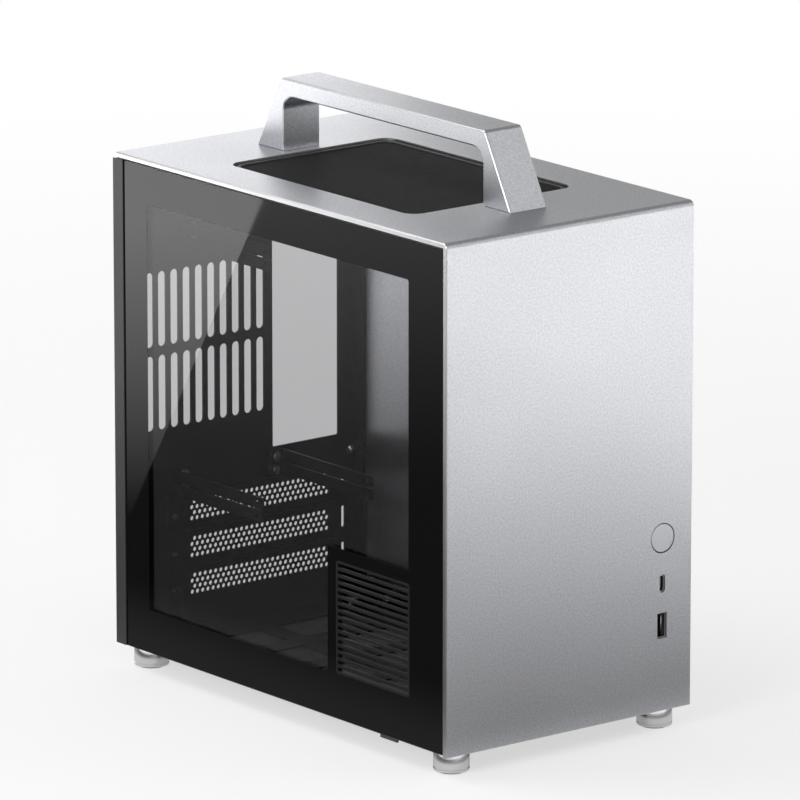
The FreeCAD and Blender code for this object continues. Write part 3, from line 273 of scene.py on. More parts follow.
# Turns a sheet drawn in (u, v) to stand in the YZ plane, u towards the rear
STANDING = Matrix(((0, 0, 1, 0), (1, 0, 0, 0), (0, 1, 0, 0), (0, 0, 0, 1)))
# The same in the XZ plane, u to the left and its thickness towards the rear
UPRIGHT = Matrix(((-1, 0, 0, 0), (0, 0, 1, 0), (0, 1, 0, 0), (0, 0, 0, 1)))


def flat_sheet(name, loops, thickness, to_place, materials):
    """A flat sheet between closed (u, v) outlines, the first outside and the others holes."""
    made = bmesh.new()
    for loop in loops:
        spots = [made.verts.new((*point, 0.0)) for point in loop]
        for start, end in zip(spots, spots[1:] + spots[:1]):
            made.edges.new((start, end))
    bmesh.ops.triangle_fill(made, use_beauty=True, use_dissolve=False, edges=made.edges)
    solid = bmesh.ops.extrude_face_region(made, geom=made.faces[:])
    raised = [item for item in solid["geom"] if isinstance(item, bmesh.types.BMVert)]
    bmesh.ops.translate(made, vec=(0.0, 0.0, thickness), verts=raised)
    bmesh.ops.recalc_face_normals(made, faces=made.faces)
    made.transform(to_place)
    return from_bmesh(name, made, materials)


def solids_of(node):
    """The (low, high) corners of each separate solid in a CAD node, in a fixed order."""
    made = merged(node)
    left = set(made.verts)
    boxes = []
    while left:
        group, edge = set(), {left.pop()}
        while edge:
            group |= edge
            edge = {end.other_vert(vert) for vert in edge for end in vert.link_edges} - group
        left -= group
        boxes.append(tuple(Vector(pick(vert.co[axis] for vert in group) for axis in range(3))
                           for pick in (min, max)))
    made.free()
    return sorted(boxes, key=lambda corners: tuple(corners[0]))


def place(piece, body, slot, *nodes):
    """Hangs a piece on its body and hides the CAD nodes it stands for; the slot it is given is not used."""
    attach(piece, body)
    if nodes:
        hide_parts(*nodes)


def paint(coating, *nodes):
    """Gives CAD nodes a finish."""
    for node in nodes:
        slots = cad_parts[node].data.materials
        slots.clear()
        slots.append(coating)


# Node trees

GEOMETRY, FLOAT, COUNT, VECTOR, OBJECT, MATERIAL = (
    f"NodeSocket{kind}" for kind in ("Geometry", "Float", "Int", "Vector", "Object", "Material"))
MIX_START, MIX_END, MIX_RESULT = 6, 7, 2  # the colour sockets of a Mix node


def add(tree, kind, inputs=None, **settings):
    """A node with its settings, and inputs given as values or as sockets to link."""
    made = tree.nodes.new(kind)
    for name, value in settings.items():
        setattr(made, name, value)
    for name, value in (inputs or {}).items():
        if isinstance(value, bpy.types.NodeSocket):
            tree.links.new(value, made.inputs[name])
        else:
            made.inputs[name].default_value = value
    return made


def math_node(tree, operation, *values):
    return add(tree, "ShaderNodeMath", dict(enumerate(values)), operation=operation).outputs[0]


def xyz(tree, x=0.0, y=0.0, z=0.0):
    return add(tree, "ShaderNodeCombineXYZ", {"X": x, "Y": y, "Z": z}).outputs[0]


def ramp(tree, value, start, end, low=0.0, high=1.0, shape="SMOOTHSTEP"):
    """A value that goes from low to high between start and end, and stays there beyond them."""
    return add(tree, "ShaderNodeMapRange", {
        "Value": value, "From Min": start, "From Max": end, "To Min": low, "To Max": high},
        interpolation_type=shape).outputs[0]


def colour_mix(tree, factor, start, end):
    """A colour between two others."""
    mix = add(tree, "ShaderNodeMix", {"Factor": factor, MIX_START: (*start, 1.0), MIX_END: (*end, 1.0)},
              data_type="RGBA")
    return mix.outputs[MIX_RESULT]


def object_spot(tree):
    """A point's place in the frame, since every piece sits at the origin."""
    return add(tree, "ShaderNodeTexCoord").outputs["Object"]


def new_group(name, kind, inputs, outputs):
    """An empty node group with its named sockets, its input node and its output node."""
    tree = bpy.data.node_groups.new(name, kind)
    for socket, kind_of, default in inputs:
        made = tree.interface.new_socket(socket, in_out="INPUT", socket_type=kind_of)
        if default is not None:
            made.default_value = default
    for socket, kind_of in outputs:
        tree.interface.new_socket(socket, in_out="OUTPUT", socket_type=kind_of)
    return tree, tree.nodes.new("NodeGroupInput").outputs, tree.nodes.new("NodeGroupOutput")


def geometry_group(name, *inputs):
    """An empty geometry tree, with its own inputs between its geometry and its finish."""
    sockets = (("Geometry", GEOMETRY, None), *inputs, ("Material", MATERIAL, None))
    return new_group(name, "GeometryNodeTree", sockets, (("Geometry", GEOMETRY),))


def ended(tree, layers, given, result):
    """Joins the layers, makes them real and gives them their finish."""
    joined = tree.nodes.new("GeometryNodeJoinGeometry")
    for layer in layers:
        tree.links.new(layer, joined.inputs[0])
    real = add(tree, "GeometryNodeRealizeInstances", {0: joined.outputs[0]})
    finished = add(tree, "GeometryNodeSetMaterial", {
        "Geometry": real.outputs[0], "Material": given["Material"]})
    tree.links.new(finished.outputs[0], result.inputs[0])
    return tree


def on_points(tree, points, shape, **inputs):
    """A shape repeated on points."""
    instances = add(tree, "GeometryNodeInstanceOnPoints", {"Points": points, "Instance": shape, **inputs})
    return instances.outputs[0]


def grown(name, tree, points=(), **inputs):
    """A plain piece made by a geometry tree, from carrier points where the tree needs them."""
    seed = bpy.data.meshes.new(f"{name}_points")
    seed.from_pydata(list(points), [], [])
    carrier = keep(f"{name}_carrier", seed)
    modifier = carrier.modifiers.new("grow", "NODES")
    modifier.node_group = tree
    for item in tree.interface.items_tree:
        if item.item_type == "SOCKET" and item.in_out == "INPUT" and item.name in inputs:
            modifier[item.identifier] = inputs[item.name]
    mesh = converted(carrier)
    carrier.modifiers.clear()
    bpy.data.objects.remove(carrier)
    bpy.data.meshes.remove(seed)
    mesh.name = name
    return keep(name, mesh)


WIRE_LIFT = 0.25  # how far each layer of wires lies off the middle, in wires
WIRE_HEIGHT = 0.5  # how tall a flattened wire is, in wires


def wire_mesh_tree():
    """Crossed wires of a filter, centred on the origin."""
    tree, given, result = geometry_group(
        "wire_mesh", ("Width", FLOAT, 0.1), ("Depth", FLOAT, 0.1), ("Pitch", FLOAT, 1.0 * MM),
        ("Wire", FLOAT, 0.4 * MM))
    layers = []
    for across, along, axis, other, lift in (("Width", "Depth", "x", "y", WIRE_LIFT),
                                             ("Depth", "Width", "y", "x", -WIRE_LIFT)):
        count = math_node(tree, "ROUND", math_node(tree, "DIVIDE", given[across], given["Pitch"]))
        height = math_node(tree, "MULTIPLY", given["Wire"], lift)
        start, end = (xyz(tree, **{axis: math_node(tree, "MULTIPLY", given[across], half), "z": height})
                      for half in (-0.5, 0.5))
        line = add(tree, "GeometryNodeMeshLine", {"Count": count, "Start Location": start, "Offset": end},
                   mode="END_POINTS")
        size = xyz(tree, **{axis: given["Wire"], other: given[along],
                            "z": math_node(tree, "MULTIPLY", given["Wire"], WIRE_HEIGHT)})
        wire = add(tree, "GeometryNodeMeshCube", {"Size": size})
        layers.append(on_points(tree, line.outputs["Mesh"], wire.outputs["Mesh"]))
    return ended(tree, layers, given, result)


def perforated_tree():
    """Staggered rows of pierced cells, with plain half cells at the ends of the shorter rows."""
    tree, given, result = geometry_group(
        "perforated_sheet", ("Columns", COUNT, 10), ("Row Pairs", COUNT, 2), ("Pitch", FLOAT, 3.0 * MM),
        ("Rise", FLOAT, 2.6 * MM), ("Cell", OBJECT, None), ("Half Cell", OBJECT, None))
    fewer, least, ends = (math_node(tree, "SUBTRACT", given["Columns"], less) for less in (1.0, 2.0, 0.5))
    gaps = math_node(tree, "SUBTRACT", given["Row Pairs"], 1.0)
    tall = math_node(tree, "MULTIPLY", math_node(tree, "MULTIPLY", gaps, 2.0), given["Rise"])
    layers = []
    rows = ((given["Columns"], fewer, -0.5, "Cell"), (fewer, least, 0.5, "Cell"), (2, ends, 0.5, "Half Cell"))
    for count, spans, lift, cell in rows:
        wide = math_node(tree, "MULTIPLY", spans, given["Pitch"])
        grid = add(tree, "GeometryNodeMeshGrid", {"Size X": wide, "Size Y": tall, "Vertices X": count,
                                                  "Vertices Y": given["Row Pairs"]})
        shift = xyz(tree, y=math_node(tree, "MULTIPLY", given["Rise"], lift))
        moved = add(tree, "GeometryNodeTransform", {"Geometry": grid.outputs["Mesh"], "Translation": shift})
        shape = add(tree, "GeometryNodeObjectInfo", {"Object": given[cell]})
        layers.append(on_points(tree, moved.outputs[0], shape.outputs["Geometry"]))
    return ended(tree, layers, given, result)


def fastener_tree():
    """One fastener at each carrier point, turned the same way."""
    tree, given, result = geometry_group("fasteners", ("Fastener", OBJECT, None), ("Turn", VECTOR, None))
    shape = add(tree, "GeometryNodeObjectInfo", {"Object": given["Fastener"]})
    turn = add(tree, "FunctionNodeEulerToRotation", {0: given["Turn"]})
    layer = on_points(tree, given["Geometry"], shape.outputs["Geometry"], Rotation=turn.outputs[0])
    return ended(tree, [layer], given, result)


# Finishes

SHEEN_SCALE = 12.0  # of the uneven sheen, the same on every finish

# Each finish: the setting that holds its colour, then its gloss, its grain and its own shader values.
# No name is that of a material slot in the record, because the frame has loaded those already.
FINISHES = {
    "blasted_silver": dict(base="silver", roughness=0.37, spread=0.02, metallic=1.0,
                           contrast=0.13, scale=900.0, sharpness=3.4, depth=0.022 * MM),
    "milled_edge": dict(base="cut_edge", roughness=0.3, metallic=1.0,
                        contrast=0.03, scale=900.0, sharpness=1.5, depth=0.004 * MM),
    "spun_silver": dict(base="silver", roughness=0.3, metallic=1.0,
                        contrast=0.05, scale=900.0, depth=0.004 * MM),
    "black_coat": dict(base="coat", roughness=0.46, spread=0.05, Specular_IOR_Level=0.35,
                       contrast=0.5, scale=1100.0, sharpness=3.0, depth=0.03 * MM),
    "satin_paint": dict(base="satin_black", roughness=0.36, contrast=0.2, scale=1400.0, depth=0.006 * MM),
    "strip_steel": dict(base="pull_grey", roughness=0.45, metallic=0.3,
                        contrast=0.12, scale=900.0, depth=0.006 * MM),
    "enamel_print": dict(base="print_black", roughness=0.02, spread=0.01, IOR=GLASS_IOR,
                         scale=1600.0, depth=0.0),
    "ground_edge": dict(base="ground", roughness=0.45, contrast=0.1, scale=1200.0, depth=0.01 * MM),
    "wire_black": dict(base="mesh_black", roughness=0.65, contrast=0.3, scale=2500.0, depth=0.004 * MM),
    "filter_rim": dict(base="filter_rim", roughness=0.45, contrast=0.2, scale=1800.0, depth=0.01 * MM),
    "filter_tab": dict(base="filter_tab", roughness=0.4, scale=1800.0, depth=0.01 * MM),
    "zinc_plate": dict(base="zinc", roughness=0.3, metallic=1.0,
                       contrast=0.06, scale=1200.0, depth=0.004 * MM),
    "moulded_black": dict(base="moulded", roughness=0.5, contrast=0.2, scale=2200.0, depth=0.01 * MM),
    "polished_foot": dict(base="chrome", roughness=0.17, spread=0.03, metallic=1.0, Anisotropic=0.6,
                          contrast=0.02, scale=400.0, sharpness=1.0, depth=0.001 * MM),
    "pad_rubber": dict(base="rubber", roughness=0.75, contrast=0.3, scale=1500.0),
    "socket_shell": dict(base="zinc", roughness=0.28, metallic=1.0,
                         contrast=0.05, scale=700.0, depth=0.003 * MM),
    "gold_contact": dict(base="gold", roughness=0.25, metallic=1.0, contrast=0.05),
    "socket_board": dict(base="board", roughness=0.35, contrast=0.4, scale=260.0, sharpness=4.0,
                         depth=0.01 * MM),
}


def fine_grain_group():
    """Small-scale relief of a blasted or coated surface: a tone from 0 to 1 and a bumped normal."""
    tree, given, result = new_group(
        "fine_grain", "ShaderNodeTree",
        (("Scale", FLOAT, 1000.0), ("Contrast", FLOAT, 2.0), ("Depth", FLOAT, 0.02 * MM)),
        (("Tone", FLOAT), ("Normal", VECTOR)))
    noise = add(tree, "ShaderNodeTexNoise", {
        "Vector": object_spot(tree), "Scale": given["Scale"], "Detail": 3.0, "Roughness": 0.7}).outputs[0]
    centred = math_node(tree, "SUBTRACT", noise, 0.5)
    tone = add(tree, "ShaderNodeMath", {0: centred, 1: given["Contrast"], 2: 0.5}, operation="MULTIPLY_ADD",
               use_clamp=True)
    bump = add(tree, "ShaderNodeBump", {"Strength": 1.0, "Distance": given["Depth"], "Height": noise})
    tree.links.new(tone.outputs[0], result.inputs["Tone"])
    tree.links.new(bump.outputs[0], result.inputs["Normal"])
    return tree


def handling_group():
    """Soft uneven sheen left by handling and wiping: a roughness between two values."""
    tree, given, result = new_group(
        "handling", "ShaderNodeTree",
        (("Scale", FLOAT, SHEEN_SCALE), ("Low", FLOAT, 0.3), ("High", FLOAT, 0.4)), (("Roughness", FLOAT),))
    noise = add(tree, "ShaderNodeTexNoise", {
        "Vector": object_spot(tree), "Scale": given["Scale"], "Detail": 4.0, "Roughness": 0.55}).outputs[0]
    spread = ramp(tree, noise, 0.3, 0.7, given["Low"], given["High"], shape="LINEAR")
    tree.links.new(spread, result.inputs["Roughness"])
    return tree


def group_node(tree, name, build, inputs):
    """A shared effect placed in a material, built once."""
    group = bpy.data.node_groups.get(name) or build()
    return add(tree, "ShaderNodeGroup", inputs, node_tree=group)


def shaded(name):
    """A new material and its surface shader."""
    made = bpy.data.materials.new(name)
    made.use_nodes = True
    return made, made.node_tree.nodes["Principled BSDF"]


def grained(name, base, roughness, spread=0.04, metallic=0.0, contrast=0.15, scale=1000.0, sharpness=2.0,
            depth=0.02 * MM, **constants):
    """A surface with a grain in its colour and relief and an uneven sheen."""
    made, surface = shaded(name)
    tree = made.node_tree
    surface.inputs["Metallic"].default_value = metallic
    for socket, value in constants.items():
        surface.inputs[socket.replace("_", " ")].default_value = value
    grain = group_node(tree, "fine_grain", fine_grain_group,
                       {"Scale": scale, "Contrast": sharpness, "Depth": depth})
    dark = [value * (1.0 - contrast) for value in base]
    light = [min(1.0, value * (1.0 + contrast)) for value in base]
    sheen = group_node(tree, "handling", handling_group,
                       {"Scale": SHEEN_SCALE, "Low": roughness - spread, "High": roughness + spread})
    tree.links.new(colour_mix(tree, grain.outputs["Tone"], dark, light), surface.inputs["Base Color"])
    tree.links.new(sheen.outputs[0], surface.inputs["Roughness"])
    if depth:
        tree.links.new(grain.outputs["Normal"], surface.inputs["Normal"])
    return made


def finish(name, colours):
    """The finish of that name, made at its first use and shared after it."""
    if name in bpy.data.materials:
        return bpy.data.materials[name]
    looks = dict(FINISHES[name])
    return grained(name, getattr(colours, looks.pop("base")), **looks)


def polished_foot(colours):
    """Bright turned metal, whose fine rings draw reflections out along the height."""
    made = finish("polished_foot", colours)
    tree = made.node_tree
    round_axis = add(tree, "ShaderNodeTangent", direction_type="RADIAL", axis="Z").outputs[0]
    tree.links.new(round_axis, tree.nodes["Principled BSDF"].inputs["Tangent"])
    return made


def tinted_glass(colours):
    """Dark polished glass, the same all over."""
    made, surface = shaded("tinted_glass")
    surface.inputs["Base Color"].default_value = (*colours.tint, 1.0)
    surface.inputs["Roughness"].default_value = 0.0
    surface.inputs["IOR"].default_value = GLASS_IOR
    surface.inputs["Transmission Weight"].default_value = 1.0
    return made


# Pieces

SQUARE_ON = 0.98  # the part of a face's normal along an axis, above which the face is square to it
SLANTED = 0.1  # the part of a face's normal along an axis, above which the face leans that way


class CasePiece:
    """What every piece of the case shares."""

    bl_options = {"REGISTER", "UNDO"}

    def execute(self, context):
        scene = context.scene
        self.build(scene.case_finishes, scene.case_details)
        return {"FINISHED"}


class CASE_OT_folded_frame(CasePiece, bpy.types.Operator):
    """Coat the folded steel of the frame and its catches"""

    bl_idname = "case.folded_frame"
    bl_label = "Folded frame"

    def build(self, colours, details):
        paint(finish("black_coat", colours), "top_plate", "bottom_tray", "front_frame", "rear_panel",
              "left_drive_rail", "right_drive_rail", "upper_rail", "io_bracket")
        paint(finish("moulded_black", colours), "cover_catches", "left_catches", "right_catches")


def silver_piece(name, node, body, is_main, colours, details):
    """A blasted silver piece in place of its CAD node, with bright cut edges on its other faces."""
    made = merged(node)
    for face in made.faces:
        face.material_index = 0 if is_main(face) else 1
    piece = from_bmesh(name, made, (finish("blasted_silver", colours), finish("milled_edge", colours)))
    place(eased(piece, details.edge_round), body, "silver_sheet", node)


class CASE_OT_cover(CasePiece, bpy.types.Operator):
    """Make the bent silver cover with bright cut edges"""

    bl_idname = "case.cover"
    bl_label = "Cover"

    def build(self, colours, details):
        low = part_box("cover")[0]
        front_depth, bottom_edge = 3.0 * MM, 1.0 * MM

        def on_a_face(face):
            middle, normal = face.calc_center_median(), face.normal
            flat_top = abs(normal.z) > SQUARE_ON and middle.z > low.z + bottom_edge
            flat_front = abs(normal.y) > SQUARE_ON and middle.y < low.y + front_depth
            bend = abs(normal.x) < SLANTED and normal.y < -SLANTED and normal.z > SLANTED
            return flat_top or flat_front or bend

        silver_piece("cover_shell", "cover", "case", on_a_face, colours, details)
        paint(finish("zinc_plate", colours), "cover_studs")


class CASE_OT_handle(CasePiece, bpy.types.Operator):
    """Make the bar handle with bright chamfers"""

    bl_idname = "case.handle"
    bl_label = "Handle"

    def build(self, colours, details):
        least, most = 0.2, 0.95  # of a chamfer's normal along X

        def off_the_chamfers(face):
            return not least < abs(face.normal.x) < most

        silver_piece("handle_bar", "handle", "case", off_the_chamfers, colours, details)


class CASE_OT_glass_side(CasePiece, bpy.types.Operator):
    """Make the dark pane with its printed border, vent grille and pull strip"""

    bl_idname = "case.glass_side"
    bl_label = "Glass side"

    def build(self, colours, details):
        self.pane(colours, details)
        self.print_border(colours, details)
        for name, node, coating, slot, edge in (
                ("grille_plate", "vent_grille", "satin_paint", "grille_black", details.edge_round / 2),
                ("pull_rail", "pull_strip", "strip_steel", "pull_steel", details.edge_round)):
            piece = from_bmesh(name, merged(node), (finish(coating, colours),))
            place(eased(piece, edge), "glass_side", slot, node)
        paint(finish("satin_paint", colours), "glass_studs")

    def pane(self, colours, details):
        """Clear faces and ground edges; the outer face lies just behind the printed border."""
        glass, ground = tinted_glass(colours), finish("ground_edge", colours)
        pane = eased(from_bmesh("dark_pane", merged("glass_pane"), (glass, ground)), details.glass_edge)
        for face in pane.data.polygons:
            face.material_index = 0 if abs(face.normal.x) > SQUARE_ON else 1
        outer_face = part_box("glass_pane")[0].x + (details.print_cover + details.print_thickness)
        for corner in pane.data.vertices:
            corner.co.x = max(corner.co.x, outer_face)
        place(pane, "glass_side", "dark_glass", "glass_pane")

    def print_border(self, colours, details):
        """A glossy black layer on the outer face, open over the clear glass and the vent grille."""
        edge_corner, window_corner, vent_corner = 1.0 * MM, 1.2 * MM, 1.9 * MM
        low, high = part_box("glass_pane")
        grille_low, grille_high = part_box("vent_grille")
        front, rear = low.y + details.window_front, high.y - details.window_rear
        bottom, top = low.z + details.window_low, high.z - details.window_high
        field_rear = grille_high.y + details.grille_field
        field_top = grille_high.z + details.grille_field
        margin = details.glass_edge
        outside = rectangle(low.y + margin, high.y - margin, low.z + margin, high.z - margin)
        window = ((field_rear, bottom), (rear, bottom), (rear, top), (front, top), (front, field_top),
                  (field_rear, field_top))
        vent = rectangle(grille_low.y, grille_high.y, grille_low.z, grille_high.z)
        loops = (outline(outside, edge_corner), outline(window, window_corner), outline(vent, vent_corner))
        seat = Matrix.Translation((low.x, 0, 0)) @ STANDING
        enamel = finish("enamel_print", colours)
        border = flat_sheet("printed_border", loops, details.print_thickness, seat, (enamel,))
        place(border, "glass_side", "dark_glass")


ROW_RISE = math.sqrt(3) / 2  # between staggered rows of holes, for a pitch of 1
ON_SIDE = 1e-9  # metres from the side of a cell, within which a point is on it


def cell_object(name, pitch, rise, hole, thickness, sides):
    """One pierced cell of a perforated sheet; sides is a multiple of four."""
    made = bmesh.new()
    half = Vector((pitch / 2, rise / 2))
    rings = []
    for height in (0.0, thickness):
        outer, inner = [], []
        for step in range(sides):
            turn = 2 * math.pi * (step + 0.5) / sides
            way = Vector((math.cos(turn), math.sin(turn)))
            rim = way * min(half.x / abs(way.x), half.y / abs(way.y))
            outer.append(made.verts.new((rim.x, rim.y, height)))
            inner.append(made.verts.new((way.x * hole / 2, way.y * hole / 2, height)))
        rings.append((outer, inner))
    corners = []
    for height in (0.0, thickness):
        corners.append([made.verts.new((half.x * x, half.y * y, height))
                        for x, y in ((1, 1), (-1, 1), (-1, -1), (1, -1))])
    for (outer, inner), tips in zip(rings, corners):
        for step in range(sides):
            after = (step + 1) % sides
            ring = [inner[step], outer[step], outer[after], inner[after]]
            if crosses_corner(outer[step].co, outer[after].co, half):
                ring.insert(2, min(tips, key=lambda tip: (tip.co - outer[step].co).length))
            made.faces.new(ring)
    low_inner, high_inner = (inner for outer, inner in rings)
    for step in range(sides):
        after = (step + 1) % sides
        made.faces.new((low_inner[step], low_inner[after], high_inner[after], high_inner[step]))
    bmesh.ops.recalc_face_normals(made, faces=made.faces)
    return from_bmesh(name, made, ())


def crosses_corner(start, end, half):
    """True where a cell's rim turns a corner between two points."""
    on_side = [abs(abs(point.x) - half.x) < ON_SIDE for point in (start, end)]
    return on_side[0] != on_side[1]


def plate_object(name, size):
    """A plain plate that fills half a cell."""
    made = bmesh.new()
    box(made, (-size.x / 2, -size.y / 2, 0.0), (size.x / 2, size.y / 2, size.z))
    return from_bmesh(name, made, ())


def perforated(name, columns, row_pairs, pitch, hole, thickness, sides, material, to_place):
    """A perforated field, centred on the origin before it is placed."""
    rise = pitch * ROW_RISE
    cell = cell_object(f"{name}_cell", pitch, rise, hole, thickness, sides)
    half_cell = plate_object(f"{name}_half", Vector((pitch / 2, rise, thickness)))
    inputs = {"Columns": columns, "Row Pairs": row_pairs, "Pitch": pitch, "Rise": rise,
              "Cell": cell, "Half Cell": half_cell, "Material": material}
    tree = bpy.data.node_groups.get("perforated_sheet") or perforated_tree()
    piece = grown(name, tree, **inputs)
    for helper in (cell, half_cell):
        bpy.data.objects.remove(helper)
    piece.data.transform(to_place)
    return piece


def perforated_hole(columns, row_pairs, pitch):
    """The corners of the opening that a perforated field fills."""
    half_u, half_v = columns * pitch / 2, row_pairs * pitch * ROW_RISE
    return rectangle(-half_u, half_u, -half_v, half_v)


class CASE_OT_mesh_side(CasePiece, bpy.types.Operator):
    """Make the silver side panel, its perforated window and its studs"""

    bl_idname = "case.mesh_side"
    bl_label = "Mesh side"

    def build(self, colours, details):
        silver_piece("side_panel", "right_panel", "mesh_side", lambda face: abs(face.normal.x) > SQUARE_ON,
                     colours, details)
        least_rim, hole_sides = 2.0 * MM, 8
        low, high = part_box("side_mesh")
        size, middle = high - low, (low + high) / 2
        pitch = details.side_pitch
        columns = int((size.y - least_rim) / pitch)
        row_pairs = int((size.z - least_rim) / (pitch * ROW_RISE) / 2)
        black = finish("wire_black", colours)
        seat = Matrix.Translation((low.x, middle.y, middle.z)) @ STANDING
        field = perforated("side_screen", columns, row_pairs, pitch, details.side_hole, size.x, hole_sides,
                           black, seat)
        loops = (rectangle(-size.y / 2, size.y / 2, -size.z / 2, size.z / 2),
                 perforated_hole(columns, row_pairs, pitch))
        rim = flat_sheet("side_screen_rim", loops, size.x, seat, (black,))
        for piece in (field, rim):
            place(piece, "mesh_side", "black_mesh")
        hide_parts("side_mesh")
        paint(finish("zinc_plate", colours), "right_studs")


class CASE_OT_slot_covers(CasePiece, bpy.types.Operator):
    """Make the perforated blanks over the card slots"""

    bl_idname = "case.slot_covers"
    bl_label = "Slot covers"

    def build(self, colours, details):
        gauge, plain_ends, shift, hole_sides = 0.9 * MM, 18.0 * MM, 3.0 * MM, 12
        pitch, row_pairs = details.slot_pitch, details.slot_rows
        coat = finish("black_coat", colours)
        for index in (1, 2, 3):
            node = f"slot_cover_{index}"
            low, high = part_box(node)
            columns = int((high.x - low.x - plain_ends) / pitch)
            middle = Vector(((low.x + high.x) / 2 + shift, high.y - gauge, (low.z + high.z) / 2))
            seat = Matrix.Translation(middle) @ UPRIGHT
            field = perforated(f"slot_field_{index}", columns, row_pairs, pitch, details.slot_hole, gauge,
                               hole_sides, coat, seat)
            loops = (rectangle(middle.x - high.x, middle.x - low.x, low.z - middle.z, high.z - middle.z),
                     perforated_hole(columns, row_pairs, pitch))
            rim = flat_sheet(f"slot_rim_{index}", loops, gauge, seat, (coat,))
            made = bmesh.new()
            box(made, low, (low.x + gauge, high.y - gauge, high.z))
            foot = from_bmesh(f"slot_foot_{index}", made, (coat,))
            for piece in (field, rim, foot):
                place(piece, "case", "frame_steel")
            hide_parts(node)


# Border and corner radius of each filter's frame
FILTER_FRAMES = {"top_filter": (2.2 * MM, 8.0 * MM), "bottom_filter": (5.0 * MM, 2.0 * MM)}
BOTTOM_SHEET = 1.2 * MM  # thickness of the bottom filter, without its hanging tab


class CASE_OT_filters(CasePiece, bpy.types.Operator):
    """Weave the top and bottom dust filters into their frames"""

    bl_idname = "case.filters"
    bl_label = "Filters"

    def build(self, colours, details):
        rim_edge, least_corner, wire_level = 0.3 * MM, 0.5 * MM, 0.4
        black, rim_finish = finish("wire_black", colours), finish("filter_rim", colours)
        tree = wire_mesh_tree()
        for node, (border, corner) in FILTER_FRAMES.items():
            low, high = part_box(node)
            if node == "bottom_filter":
                low = Vector((-high.x, low.y, high.z - BOTTOM_SHEET))
            size, middle = high - low, (low + high) / 2
            wires = grown(f"{node}_weave", tree, Width=size.x - border, Depth=size.y - border,
                          Pitch=details.filter_pitch, Wire=details.filter_wire, Material=black)
            wires.data.transform(Matrix.Translation((middle.x, middle.y, low.z + wire_level * size.z)))
            edge = outline(rectangle(low.x, high.x, low.y, high.y), corner)
            field = outline(rectangle(low.x + border, high.x - border, low.y + border, high.y - border),
                            max(corner - border, least_corner))
            seat = Matrix.Translation((0, 0, low.z))
            rim = eased(flat_sheet(f"{node}_rim", (edge, field), size.z, seat, (rim_finish,)), rim_edge)
            for piece in (wires, rim):
                place(piece, "case", "black_mesh")
            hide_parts(node)
        tab_finish = finish("filter_tab", colours)
        for tab in (self.top_tab(tab_finish), self.bottom_tab(tab_finish)):
            place(tab, "case", "black_mesh")

    def top_tab(self, tab_finish):
        """A ribbed tab inside the top filter's front border."""
        low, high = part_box("top_filter")
        left, front = 13.0 * MM, low.y + FILTER_FRAMES["top_filter"][0]
        width, depth, under, recess = 15.0 * MM, 6.0 * MM, 0.4 * MM, 0.35 * MM
        ribs, rib_pitch, rib_width, rib_margin, rib_height = 6, 2.2 * MM, 1.2 * MM, 1.0 * MM, 0.4 * MM
        made = bmesh.new()
        box(made, (left, front, low.z + under), (left + width, front + depth, high.z - recess))
        for rib in range(ribs):
            start = left + rib_width + rib_pitch * rib
            box(made, (start, front + rib_margin, high.z - rib_height),
                (start + rib_width, front + depth - rib_margin, high.z))
        return from_bmesh("top_filter_tab", made, (tab_finish,))

    def bottom_tab(self, tab_finish):
        """A bent tab that laps the bottom filter's left edge and hangs beside it."""
        low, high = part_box("bottom_filter")
        lap, start, width, edge = 1.0 * MM, -92.0 * MM, 14.0 * MM, 0.2 * MM
        outer, inner, under = -low.x, -low.x - BOTTOM_SHEET, high.z - BOTTOM_SHEET
        bent = ((outer, low.z), (outer, high.z), (high.x - lap, high.z), (high.x - lap, under),
                (inner, under), (inner, low.z))
        seat = Matrix.Translation((0, start, 0)) @ UPRIGHT
        return eased(flat_sheet("bottom_filter_tab", (bent,), width, seat, (tab_finish,)), edge)


class CASE_OT_feet(CasePiece, bpy.types.Operator):
    """Turn the bright feet and finish their pads"""

    bl_idname = "case.feet"
    bl_label = "Feet"

    def build(self, colours, details):
        chrome, segments = polished_foot(colours), 72
        for corner in ("front_left", "front_right", "rear_left", "rear_right"):
            node = f"foot_{corner}"
            low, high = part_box(node)
            made = bmesh.new()
            lathe(made, self.profile((high.x - low.x) / 2, high.z - low.z), segments)
            made.transform(Matrix.Translation(((low.x + high.x) / 2, (low.y + high.y) / 2, low.z)))
            place(from_bmesh(f"turned_{node}", made, (chrome,)), "case", "foot_chrome", node)
        paint(finish("pad_rubber", colours), "foot_pads")

    def profile(self, radius, height):
        """From the pad's recess, round the outside with its groove, to the screw's bore."""
        recess, recess_depth, bore = 7.4 * MM, 1.2 * MM, 3.0 * MM
        edge, shoulder = 0.7 * MM, 0.2 * MM
        groove, groove_low, groove_high, slope = radius - 0.35 * MM, 1.5 * MM, 2.2 * MM, 0.2 * MM
        return ((recess, recess_depth), (recess, 0.0), (radius - edge, 0.0), (radius - shoulder, shoulder),
                (radius, edge), (radius, groove_low), (groove, groove_low + slope),
                (groove, groove_high - slope), (radius, groove_high), (radius, height - edge),
                (radius - shoulder, height - shoulder), (radius - edge, height), (bore, height))


X, Y, Z = range(3)
QUARTER = math.pi / 2
# Each set of screws: the axis and way that they are driven and the turn to it from +Z,
# then shank radius, head radius and head height
SCREWS = {
    "rail_screws": (Y, 1, (-QUARTER, 0, 0), 1.5 * MM, 2.6 * MM, 2.0 * MM),
    "slot_screws": (X, -1, (0, -QUARTER, 0), 1.5 * MM, 2.6 * MM, 2.0 * MM),
    "foot_screws": (Z, -1, (2 * QUARTER, 0, 0), 2.0 * MM, 3.8 * MM, 2.4 * MM),
    "handle_screws": (Z, 1, (0, 0, 0), 2.5 * MM, 4.3 * MM, 3.0 * MM),
}


